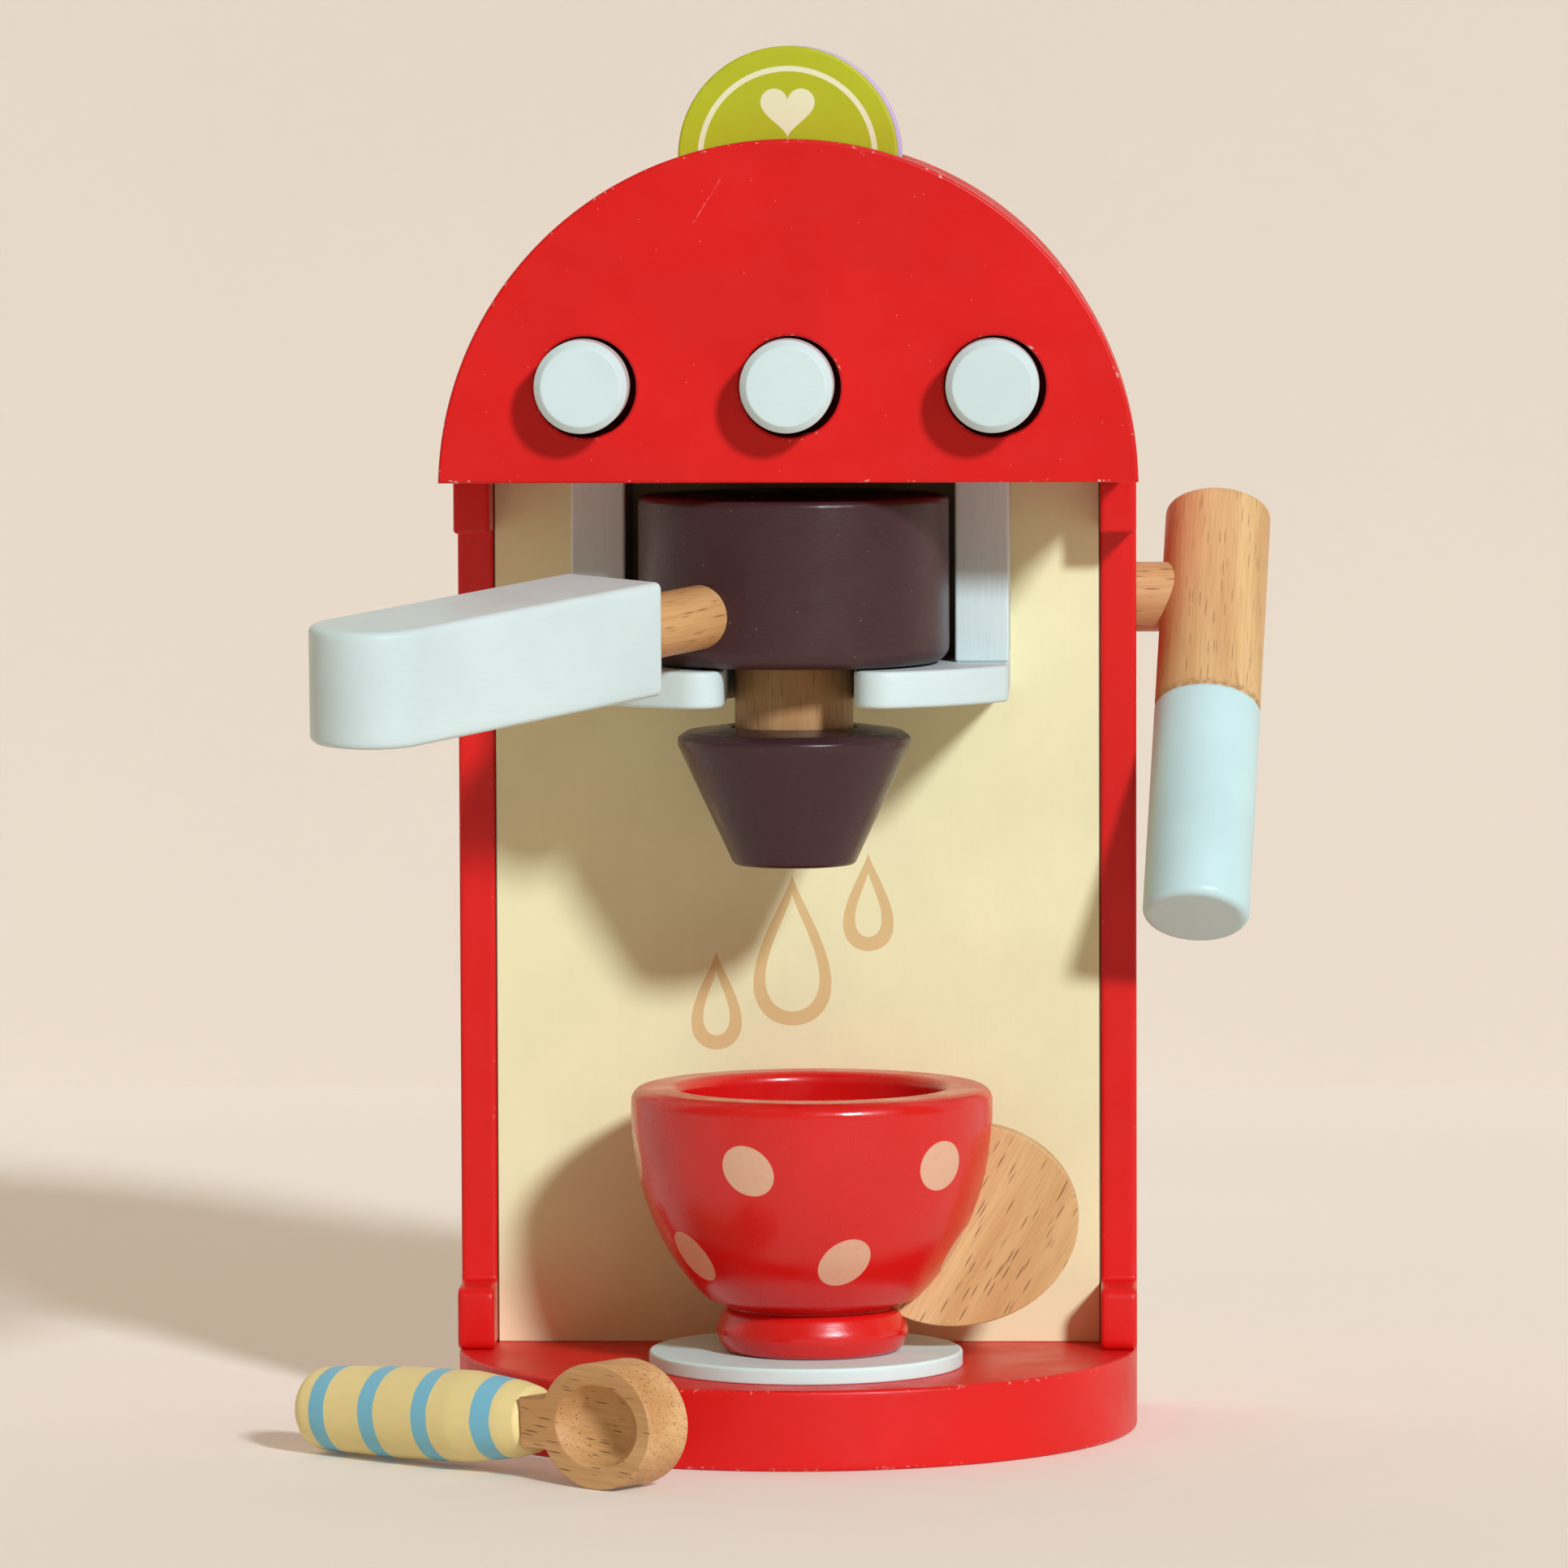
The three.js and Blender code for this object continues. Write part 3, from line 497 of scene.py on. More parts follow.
def painted_wood(name, shade, direction=(0, 0, 1), grain=0.25, roughness=0.36, specks=0.0, pale_edge=0.35,
                 marks=None, specular=0.34, peel=0.12, pale_edge_cutoff=0.6):
    """Satin paint on wood: a slow drift of tone, fibres that show through as fine ridges, a few dust specks, and
    pale undercoat where noise breaks the paint along a marked edge. Set strong, as on the head's layers, these pale
    edges are partly worn paint and partly a painted highlight along the rounded edges."""
    recipe = Recipe(name)
    point = recipe.place(direction)
    drift = recipe.noise(point, 0.035, 3.0)
    fibres = recipe.noise(recipe.stretched(point, 1, 1, 0.05), 1.9, 4.0, 0.6)
    base = recipe.mix(recipe.range(drift, 0.3, 0.7), scaled(shade, 0.95), scaled(shade, 1.04))
    base = recipe.mix(recipe.range(fibres, 0.35, 0.75, 0.0, 0.10 * grain + 0.02), base, scaled(shade, 0.6))
    if specks:
        cells = recipe.add("TexVoronoi", {"Vector": point, "Scale": 0.55})
        rare = recipe.math("GREATER_THAN", recipe.noise(point, 0.21, 1.0), 0.55)
        dust = recipe.times(recipe.range(cells["Distance"], 0.05, 0.09, specks, 0.0), rare)
        base = recipe.mix(dust, base, paint("primer"))
    if marks is not None:
        base = marks(recipe, base)
    edge = recipe.add("Attribute", attribute_name="edge")["Fac"]
    broken = recipe.range(recipe.noise(point, 0.7, 5.0, 0.75), pale_edge_cutoff, pale_edge_cutoff + 0.03)
    base = recipe.mix(recipe.times(recipe.times(edge, broken), pale_edge), base, paint("primer"))
    rough = recipe.range(recipe.noise(point, 0.12, 3.0), 0.3, 0.7, roughness - 0.05, roughness + 0.07)
    recipe.bumps((fibres, 0.5 * grain, 0.12), (recipe.noise(point, 0.9), peel, 0.15), (drift, 0.2, 0.6))
    return recipe.finish(base, rough, specular)


def bare_beech(name, direction, origin=(0, 0, 0), rings=0.35, pores=1.0, tone=1.0, dip=None):
    """Beech: rings as a sine of the distance from a far heart, fibres as noise drawn out along the grain,
    and pores as stretched cells of which about two thirds are kept."""
    light, dark = scaled(paint("beech_light"), tone), scaled(paint("beech_dark"), tone)
    recipe = Recipe(name)
    point = recipe.place(direction, origin)
    wander = recipe.add("TexNoise", {"Vector": recipe.stretched(point, 1, 1, 0.15), "Scale": 0.09})["Color"]
    bent = recipe.vector("ADD", recipe.vector("ADD", point, recipe.stretched(wander, 6, 6, 0)), (31, 17, 0))
    heart = recipe.vector("LENGTH", recipe.stretched(bent, 1, 1, 0.02))
    year = recipe.math("SINE", recipe.times(heart, 3.6))
    fibres = recipe.noise(recipe.stretched(point, 1, 1, 0.045), 2.6, 5.0, 0.65)
    bands = recipe.noise(recipe.stretched(point, 1, 1, 0.12), 0.11, 2.0)
    base = recipe.mix(recipe.range(bands, 0.3, 0.7), light, dark)
    base = recipe.mix(recipe.range(year, 0.1, 1.0, 0.0, 0.55 * rings), base, scaled(dark, 0.82))
    base = recipe.mix(recipe.range(fibres, 0.42, 0.70, 0.0, 0.42), base, scaled(dark, 0.78))
    cells = recipe.add("TexVoronoi", {"Vector": recipe.stretched(point, 1, 1, 0.085), "Scale": 1.8})
    chosen = recipe.math("GREATER_THAN", recipe.add("SeparateColor", {"Color": cells["Color"]})[0], 0.35)
    dash = recipe.times(recipe.range(cells["Distance"], 0.14, 0.32, 1.0, 0.0), chosen)
    base = recipe.mix(recipe.times(dash, 0.6 * pores), base, paint("pore"))
    if dip is None:
        roughness = recipe.range(fibres, 0.3, 0.7, 0.40, 0.55)
    else:
        base, roughness = dip(recipe, point, base)
    recipe.bumps((fibres, 0.18, 0.12), (dash, -0.35, 0.12))
    return recipe.finish(base, roughness, 0.4)


# Pieces

def drop_loops(x, z, width, height, stroke):
    """Outline of a falling drop and the hole inside it: a circle below that draws in to a point above.
    At angle t from the tip it is half the width times sin t sin(t / 2) to the power 1.6 times 1.18 across."""
    turn = np.linspace(0.0, math.tau, 72, endpoint=False)

    def outline(half, tall):
        across = half * np.sin(turn) * np.sin(turn / 2) ** 1.6 * 1.18
        up = tall * (0.5 + 0.5 * np.cos(turn))
        return np.stack([x - across, z - height / 2 + (height - tall) * 0.42 + up], axis=1)

    return outline(width / 2, height), outline(width / 2 - stroke, height - 2.3 * stroke)[::-1], []


class COFFEE_OT_stand(bpy.types.Operator):
    """Red base and side panels, the cream panel with its print, and the coaster"""
    bl_idname = "coffee.stand"
    bl_label = "Stand"

    def execute(self, context):
        shapes = context.scene.coffee_shapes
        self.base(shapes)
        for node in ("left_side_panel", "right_side_panel"):
            self.side_panel(shapes, node)
        self.back_panel()
        coaster = Box("coaster")
        # Painted light: the coaster's blue is paler and cooler than the blue paint, to make up for the shade and red
        # bounce that fall on it.
        blue = painted_wood("coaster_blue", scaled(paint("blue"), (1.1, 1.2, 1.15)), (1, 0, 0),
                            grain=0.5, roughness=0.5)
        profile = rod(coaster.half[0], coaster.size[2], 0.3 * MM, 0.5 * MM)
        make_turned("coaster_disc", "coaster", "blue_paint", "Z", profile, shapes.sides, blue)
        return {"FINISHED"}

    def base(self, shapes):
        """Half round in front, straight behind."""
        box = Box("base_plate")
        left, right, back = box.low[0], box.high[0], box.high[1]
        front = arc((0, 0), (right, -box.low[1]), math.pi, math.tau, 160)
        behind = rounded([(right, 0, 0), (right, back, MM), (left, back, MM), (left, 0, 0)])[1:-1]
        red = painted_wood("base_red", paint("red"), (1, 0, 0), grain=0.3, roughness=0.4)
        make_board("base", "base_plate", "red_paint", "Z", [np.concatenate([front, behind])],
                   shapes.board_edge, red)

    def side_panel(self, shapes, node):
        """Post with a foot and a top block that reach forward; the right one is bored for the axle."""
        box = Box(node)
        (front, bottom), (back, top) = box.low[1:], box.high[1:]
        post, foot, block = front + 11.8 * MM, bottom + 11.1 * MM, top - 11.2 * MM
        toe, corner, inner, outer = shapes.toe_radius, 0.75 * MM, 0.4 * MM, 0.8 * MM
        loops = [rounded([
            (front, bottom, toe), (back, bottom, corner), (back, top, corner), (front, top, outer),
            (front, block, corner), (post, block, inner), (post, foot, outer), (front, foot, toe)], closed=True)]
        if node.startswith("right"):
            loops.append(ring(Box("lever_axle").middle[1:], shapes.axle_radius + 0.3 * MM, 64, hole=True))
        red = painted_wood(node + "_red", paint("red"), grain=0.3, pale_edge=0.2, pale_edge_cutoff=0.64)
        make_board(node.replace("_panel", ""), node, "red_paint", "X", loops, shapes.board_edge, red)

    def back_panel(self):
        """Cream board with three drops, its face a little in front of its solid's."""
        box = Box("back_panel")
        stroke, corner = 2.6 * MM, 0.35 * MM
        drops = [drop_loops(*(value * MM for value in drop), stroke) for drop in (
            (-1.0, 84.0, 17.0, 27.0), (-14.5, 75.0, 11.0, 17.5), (12.5, 92.5, 11.0, 17.5))]
        reach = box.high[0] - corner

        def painted_joint_shade(recipe, base):
            """Painted shade: dark lines where the panel meets the two side panels, standing in for the shadow in the
            gaps between them.
            """
            across = recipe.math("ABSOLUTE", recipe.axis(recipe.object_point(), "X"))
            joint_shade_mask = recipe.range(across, reach, reach + 0.2 * MM, 0.0, 0.85)
            return recipe.mix(joint_shade_mask, base, (0.03, 0.012, 0.008))

        matt = {"grain": 0.12, "roughness": 0.5, "pale_edge": 0.0}
        # The cream carries painted shade along its two side edges, where it meets the side panels.
        cream = painted_wood("panel_cream", paint("cream"), marks=painted_joint_shade, **matt)
        tan = painted_wood("panel_print", paint("tan"), **matt)
        loop = square_loop(box.low[[0, 2]], box.high[[0, 2]], corner)
        make_board("panel", "back_panel", "cream_paint", "Y", [loop], 0.3 * MM, cream, tan,
                   prints=drops, lead=0.8 * MM)


class COFFEE_OT_head(bpy.types.Operator):
    """Layers of the domed head, its roof and its floor"""
    bl_idname = "coffee.head"
    bl_label = "Head"

    def execute(self, context):
        shapes = context.scene.coffee_shapes
        facade, floor = Box("front_facade"), Box("head_floor")
        self.radius, roof = self.dome_radius(facade), self.dome_radius(Box("roof_shell"))
        self.flat, self.centre = facade.low[2], np.array([facade.middle[0], facade.high[2] - self.radius])
        buttons = [Box(f"{side}_button") for side in SIDES]
        places = [box.middle[[0, 2]] for box in buttons]
        aside = np.array([0.4 * MM, -0.35 * MM])  # the caps sit up and to the left in their bores
        bores = [ring(place + aside, buttons[0].half[0] + 0.75 * MM, 96, hole=True) for place in places]
        stems = [ring(place, shapes.stem_radius + 0.3 * MM, 32, hole=True) for place in places]
        scratched = painted_wood("facade_red", paint("red"), (1, 0, 0.15), grain=0.12, roughness=0.4,
                                 specks=0.18, pale_edge=0.7, pale_edge_cutoff=0.615, specular=0.26, marks=self.scratch)
        # Painted highlight: the head layers' strong pale edges are partly chipped paint and partly a painted
        # highlight along the rounded edges that face the key light.
        red = painted_wood("head_red", paint("red"), (1, 0, 0), grain=0.2, roughness=0.46, pale_edge=0.9,
                           pale_edge_cutoff=0.57, specular=0.2)
        shell = np.concatenate([self.dome(roof), self.dome(roof - 4.5 * MM, 180)[::-1]])
        board = square_loop(floor.low[[0, 2]], floor.high[[0, 2]], 0.35 * MM)
        for name, node, loops, material, edge in (
                ("facade", "front_facade", [self.dome(self.radius), *bores], scratched, 0.55),
                ("spacer", "slot_spacer", [self.slotted(shapes), *bores], red, 0.45),
                ("third_layer", "inner_dome", [self.dome(self.radius), *stems], red, 0.45),
                ("roof", "roof_shell", [shell], red, 0.45),
                ("rear_dome", "rear_dome_panel", [self.dome(roof)], red, 0.6),
                ("floor_board", "head_floor", [board], red, 0.3)):
            make_board(name, node, "red_paint", "Y", loops, edge * MM, material)
        return {"FINISHED"}

    def dome_radius(self, box):
        """Radius of an arc from its half chord c and height h: (c squared + h squared) / 2h."""
        return (box.half[0] ** 2 + box.size[2] ** 2) / (2 * box.size[2])

    def dome(self, radius, steps=220):
        """Half round with its flat side below."""
        start = math.asin((self.flat - self.centre[1]) / radius)
        return arc(self.centre, radius, start, math.pi - start, steps)

    def slotted(self, shapes):
        """Dome with a slot down from the top: right arc, slot side, rounded floor, slot side, left arc."""
        disc = Box("disc_lime")
        half, shift, corner = disc.half[0] + 0.65 * MM, 0.2 * MM, shapes.slot_corner
        low = disc.low[2] - 0.3 * MM + corner
        start = math.asin((self.flat - self.centre[1]) / self.radius)
        left, right = (math.acos(x / self.radius) for x in (shift - half, shift + half))
        return np.concatenate([
            arc(self.centre, self.radius, start, right, 90),
            arc((self.centre[0] + shift + half - corner, low), corner, 0, -math.pi / 2, 8),
            arc((self.centre[0] + shift - half + corner, low), corner, -math.pi / 2, -math.pi, 8),
            arc(self.centre, self.radius, left, math.pi - start, 90)])

    def scratch(self, recipe, base):
        """A faint pale line: the distance from a slanted line, kept between its two ends."""
        point = recipe.place((0, 1, 0))
        first, last = Vector((-0.0158, 0, 0.2135)), Vector((-0.0106, 0, 0.2218))
        along, size = (last - first).normalized(), (last - first).length / MM
        across = Vector((along.z, 0, -along.x))
        offset = recipe.vector("SUBTRACT", recipe.object_point(), tuple(first))
        aside = recipe.math("ABSOLUTE", recipe.vector("DOT_PRODUCT", offset, tuple(across / MM)))
        travel = recipe.vector("DOT_PRODUCT", offset, tuple(along / MM))
        inside = recipe.times(recipe.range(travel, 0, 1), recipe.range(travel, size - 1, size, 1, 0))
        line = recipe.times(recipe.range(aside, 0.05, 0.2, 0.18, 0.0), inside)
        broken = recipe.times(line, recipe.range(recipe.noise(point, 1.2), 0.35, 0.6))
        return recipe.mix(broken, base, (0.9, 0.55, 0.5))


class COFFEE_OT_discs(bpy.types.Operator):
    """The two discs in the head's slot, the front one with a print"""
    bl_idname = "coffee.discs"
    bl_label = "Discs"

    def execute(self, context):
        for hue in ("lime", "lilac"):
            node = "disc_" + hue
            box = Box(node)
            centre, radius = box.middle[[0, 2]], box.half[0]
            body = painted_wood(node + "_paint", paint(hue), (1, 0, 1), grain=0.1, roughness=0.48, pale_edge=0.3)
            ivory = painted_wood(node + "_print", paint("ivory"), (1, 0, 1), grain=0.1, roughness=0.5, pale_edge=0.0)
            make_board(hue + "_disc", node, hue + "_paint", "Y", [ring(centre, radius, 160)], 0.45 * MM,
                       body, ivory, prints=self.hearts(centre, radius) if hue == "lime" else ())
        return {"FINISHED"}

    def hearts(self, centre, radius):
        """A thin ring near the rim, and three hearts about the centre: x = 16 sin cubed t,
        y = 13 cos t - 5 cos 2t - 2 cos 3t - cos 4t, scaled, turned and moved out."""
        t = np.linspace(0.0, math.tau, 60, endpoint=False)
        up = 13 * np.cos(t) - 5 * np.cos(2 * t) - 2 * np.cos(3 * t) - np.cos(4 * t)
        heart = np.stack([16 * np.sin(t) ** 3, up], axis=1)[::-1] * 0.0155 * radius + (0.0, 0.43 * radius)
        spread = [heart @ np.array([[math.cos(a), math.sin(a)], [-math.sin(a), math.cos(a)]]) + centre
                  for a in (math.tau * k / 3 for k in range(3))]
        return [(ring(centre, 0.82 * radius, 140), ring(centre, 0.77 * radius, 140, hole=True), spread)]


class COFFEE_OT_buttons(bpy.types.Operator):
    """The three push buttons with chamfered fronts"""
    bl_idname = "coffee.buttons"
    bl_label = "Buttons"

    def execute(self, context):
        shapes = context.scene.coffee_shapes
        chamfer, cap, stem = shapes.button_chamfer, 16.0 * MM, shapes.stem_radius
        blue = painted_wood("button_blue", paint("blue"), (1, 0, 0.2), grain=0.2, roughness=0.45, pale_edge=0.0)
        for side in SIDES:
            box = Box(f"{side}_button")
            radius, depth = box.half[0], box.size[1]
            profile = rounded([(0, 0, 0), (radius - chamfer, 0, 0.5 * MM), (radius, chamfer, 0.5 * MM),
                               (radius, cap, 0.4 * MM), (stem, cap, 0.2 * MM), (stem, depth, 0.2 * MM),
                               (0, depth, 0)])
            make_turned(f"{side}_push_button", f"{side}_button", "blue_paint", "Y", profile, shapes.sides, blue)
        return {"FINISHED"}


class COFFEE_OT_holder(bpy.types.Operator):
    """Arms under the head and the forked plate that carries the filter"""
    bl_idname = "coffee.holder"
    bl_label = "Holder"

    def execute(self, context):
        for node in ("left_holder_arm", "right_holder_arm"):
            box = Box(node)
            blue = painted_wood(node + "_blue", paint("blue"), grain=1.0, roughness=0.5, pale_edge=0.25)
            loop = square_loop(box.low[[0, 2]], box.high[[0, 2]], 0.55 * MM)
            make_board(node.replace("_holder", ""), node, "blue_paint", "Y", [loop], 0.5 * MM, blue)
        blue = painted_wood("fork_blue", paint("blue"), (1, 0, 0), grain=0.35, roughness=0.46, pale_edge=0.3)
        make_board("fork", "fork_plate", "blue_paint", "Z", [self.fork(Box("fork_plate"), Box("filter_neck"))],
                   context.scene.coffee_shapes.holder_edge, blue)
        return {"FINISHED"}

    def fork(self, box, neck):
        """Front bowed by 21.9 mm over its width w, radius (w squared / 4 + bow squared) / 2 bow, with a slot
        for the neck 0.9 mm wide of it on each side, and corners rounded inside the outline."""
        bow, corner, mouth, slot = 21.9 * MM, 4.5 * MM, 5.0 * MM, neck.half[0] + 0.9 * MM
        radius = (box.half[0] ** 2 + bow ** 2) / (2 * bow)
        centre = np.array([box.middle[0], box.high[1] - 61.0 * MM + radius])
        slot_x, slot_y = neck.middle[0] - 0.3 * MM, neck.middle[1]

        def tangent(x, inner):
            """Centre of a circle that touches the bow from inside, and the bow's angle there."""
            y = centre[1] - math.sqrt((radius - inner) ** 2 - (x - centre[0]) ** 2)
            return (x, y), math.atan2(y - centre[1], x - centre[0])

        (left, a), (near, b), (far, c), (right, d) = (tangent(*circle) for circle in (
            (box.low[0] + corner, corner), (slot_x - slot - mouth, mouth),
            (slot_x + slot + mouth, mouth), (box.high[0] - corner, corner)))
        rear = square_loop((box.low[0], box.high[1] - MM), box.high[:2], 0.75 * MM)[10:]
        return np.concatenate([
            arc(left, corner, -math.pi, a, 10), arc(centre, radius, a, b, 24)[1:-1], arc(near, mouth, b, 0, 10),
            arc((slot_x, slot_y), slot, math.pi, 0, 40), arc(far, mouth, -math.pi, c, 10),
            arc(centre, radius, c, d, 24)[1:-1], arc(right, corner, d, 0, 10), rear])


class COFFEE_OT_filter(bpy.types.Operator):
    """Filter cylinder, neck, nozzle, dowel and bar handle"""
    bl_idname = "coffee.filter"
    bl_label = "Filter"

    def execute(self, context):
        shapes = context.scene.coffee_shapes
        cylinder, neck, nozzle = (Box("filter_" + part) for part in ("cylinder", "neck", "nozzle"))
        self.upright(shapes, cylinder, neck, nozzle)
        self.handle(shapes, cylinder)
        return {"FINISHED"}

    def upright(self, shapes, cylinder, neck, nozzle):
        """Block, dowel below it, and a cone whose top fills the dish round the dowel."""
        brown = painted_wood("filter_brown", paint("brown"), (1, 0, 0), grain=0.9, roughness=0.32,
                             specks=0.2, pale_edge=0.1)
        glossy = painted_wood("nozzle_brown", paint("brown"), grain=0.5, roughness=0.26, pale_edge=0.1)
        wood = bare_beech("neck_beech", (0, 0, 1), (*cylinder.middle[:2], 0), pores=0.8, tone=(0.76, 0.68, 0.64))
        block = rod(cylinder.half[0], cylinder.size[2], 3 * MM, MM, 8)
        make_turned("cylinder", "filter_cylinder", "brown_paint", "Z", block, shapes.sides, brown)
        dowel = rod(neck.half[0], neck.size[2], 0.3 * MM, 0.2 * MM)
        make_turned("neck", "filter_neck", "beech", "Z", dowel, 96, wood)
        inner, outer, height, dish = neck.half[0], nozzle.half[0], nozzle.size[2], neck.low[2] - nozzle.low[2]
        cone = rounded([
            (0, 0, 0), (10.5 * MM, 0, 1.2 * MM), (outer - 0.1 * MM, height - 3.4 * MM, 1.2 * MM),
            (outer, height - 2.0 * MM, 0.9 * MM), (outer - 1.6 * MM, height - 0.9 * MM, 1.2 * MM),
            (inner + 2.0 * MM, height, 0.8 * MM), (inner + 0.8 * MM, height - 0.2 * MM, 0.3 * MM),
            (inner + 0.6 * MM, dish, 0.1 * MM), (0, dish, 0)], steps=6)
        make_turned("nozzle", "filter_nozzle", "brown_paint", "Z", cone, shapes.sides, glossy)

    def handle(self, shapes, cylinder):
        """Dowel and bar, drawn from the filter's axis with local X out along the dowel."""
        turn = Euler((shapes.handle_roll, shapes.handle_droop, -shapes.handle_turn - math.pi / 2)).to_matrix()
        origin = Vector((*cylinder.middle[:2], cylinder.low[2] + 10.97 * MM))
        x, y, z = axes_of(turn)
        start, reach = origin + x * 14.0 * MM, 49.5 * MM
        wood = bare_beech("dowel_beech", x, start, tone=(0.89, 0.77, 0.69))
        dowel = turned(rod(shapes.dowel_radius, reach, 0.3 * MM, 0.3 * MM), 64)
        make_piece("dowel", "filter_dowel", "beech", dowel.placed(start, (y, z, x)), wood)
        size, half, tall, corner = 76.1 * MM, 10.3 * MM, 19.5 * MM, 1.25 * MM
        square = rounded([(size / 2, half, 0), (0, half, corner), (0, -half, corner), (size / 2, -half, 0)], steps=8)
        outline = np.concatenate([square[1:-1], arc((size - half, 0), half, -math.pi / 2, math.pi / 2, 64)])
        bar = board([outline], -tall / 2, tall / 2, shapes.handle_edge).placed(origin + x * 50.5 * MM, (x, y, z))
        blue = painted_wood("handle_blue", paint("blue"), x, grain=0.3, roughness=0.42, pale_edge=0.25, specks=0.2)
        make_piece("handle_bar", "filter_handle", "blue_paint", bar, blue)


class COFFEE_OT_lever(bpy.types.Operator):
    """Lever's axle, collar and dipped grip"""
    bl_idname = "coffee.lever"
    bl_label = "Lever"

    def execute(self, context):
        shapes = context.scene.coffee_shapes
        axle, collar, radius = Box("lever_axle"), Box("lever_collar"), shapes.axle_radius
        wood = bare_beech("axle_beech", (1, 0, 0), axle.middle, tone=0.96, pores=1.5)
        profile = rod(radius, axle.size[0], 0.4 * MM, 0.4 * MM)
        make_turned("axle", "lever_axle", "beech", "X", profile, 96, wood)
        centre = axle.middle[1:]
        loops = [ring(centre, collar.half[2], 96), ring(centre, radius + 0.05 * MM, 72, hole=True)]
        make_board("collar", "lever_collar", "beech", "X", loops, 0.4 * MM, wood)
        self.grip(shapes, axle)
        return {"FINISHED"}

    def grip(self, shapes, axle):
        """Stick turned about its own length; the dip's edge is a small groove under a raised lip."""
        radius, below, above, dip = 9.35 * MM, 65.4 * MM, 17.5 * MM, -23.1 * MM
        tilt, lean = Euler((shapes.grip_tilt, 0, 0)), Euler((0, shapes.grip_lean, 0))
        x, y, z = axes_of(tilt.to_matrix() @ lean.to_matrix())
        origin = Vector((Box("right_side_panel").high[0] + 4.45 * MM + radius, *axle.middle[1:]))
        profile = rounded([
            (0, -below, 0), (radius, -below, 1.5 * MM), (radius, dip - 0.6 * MM, 0.3 * MM),
            (radius - 0.35 * MM, dip - 0.1 * MM, 0.1 * MM), (radius - 0.3 * MM, dip + 0.15 * MM, 0.1 * MM),
            (radius, dip + 0.6 * MM, 0.3 * MM), (radius, above, 1.2 * MM), (0, above, 0)], steps=6)
        shade, line = paint("lever_blue"), dip / MM

        def dipped(recipe, point, base):
            """Blue below the dip's ragged line, and wood that is darker just above it."""
            height = recipe.axis(point, "Z")
            ragged = recipe.math("ADD", height, recipe.times(recipe.noise(point, 0.5, 3.0), 0.5))
            covered = recipe.range(ragged, line + 0.05, line + 0.25, 1.0, 0.0)
            drift = recipe.range(recipe.noise(point, 0.05), 0.3, 0.7)
            coat = recipe.mix(drift, scaled(shade, 0.95), scaled(shade, 1.04))
            burnt = recipe.times(recipe.range(height, line + 0.3, line + 1.4, 0.55, 0.0),
                                 recipe.range(recipe.noise(point, 0.9, 3.0), 0.3, 0.7))
            bare = recipe.mix(burnt, base, scaled(paint("pore"), 1.3))
            return recipe.mix(covered, bare, coat), recipe.mix(covered, (0.5,) * 3, (0.36,) * 3)

        wood = bare_beech("grip_beech", z, origin, rings=0.25, pores=0.7, dip=dipped)
        stick = turned(profile, shapes.sides).placed(origin, (x, y, z))
        make_piece("grip", "lever_grip", "beech", stick, wood)


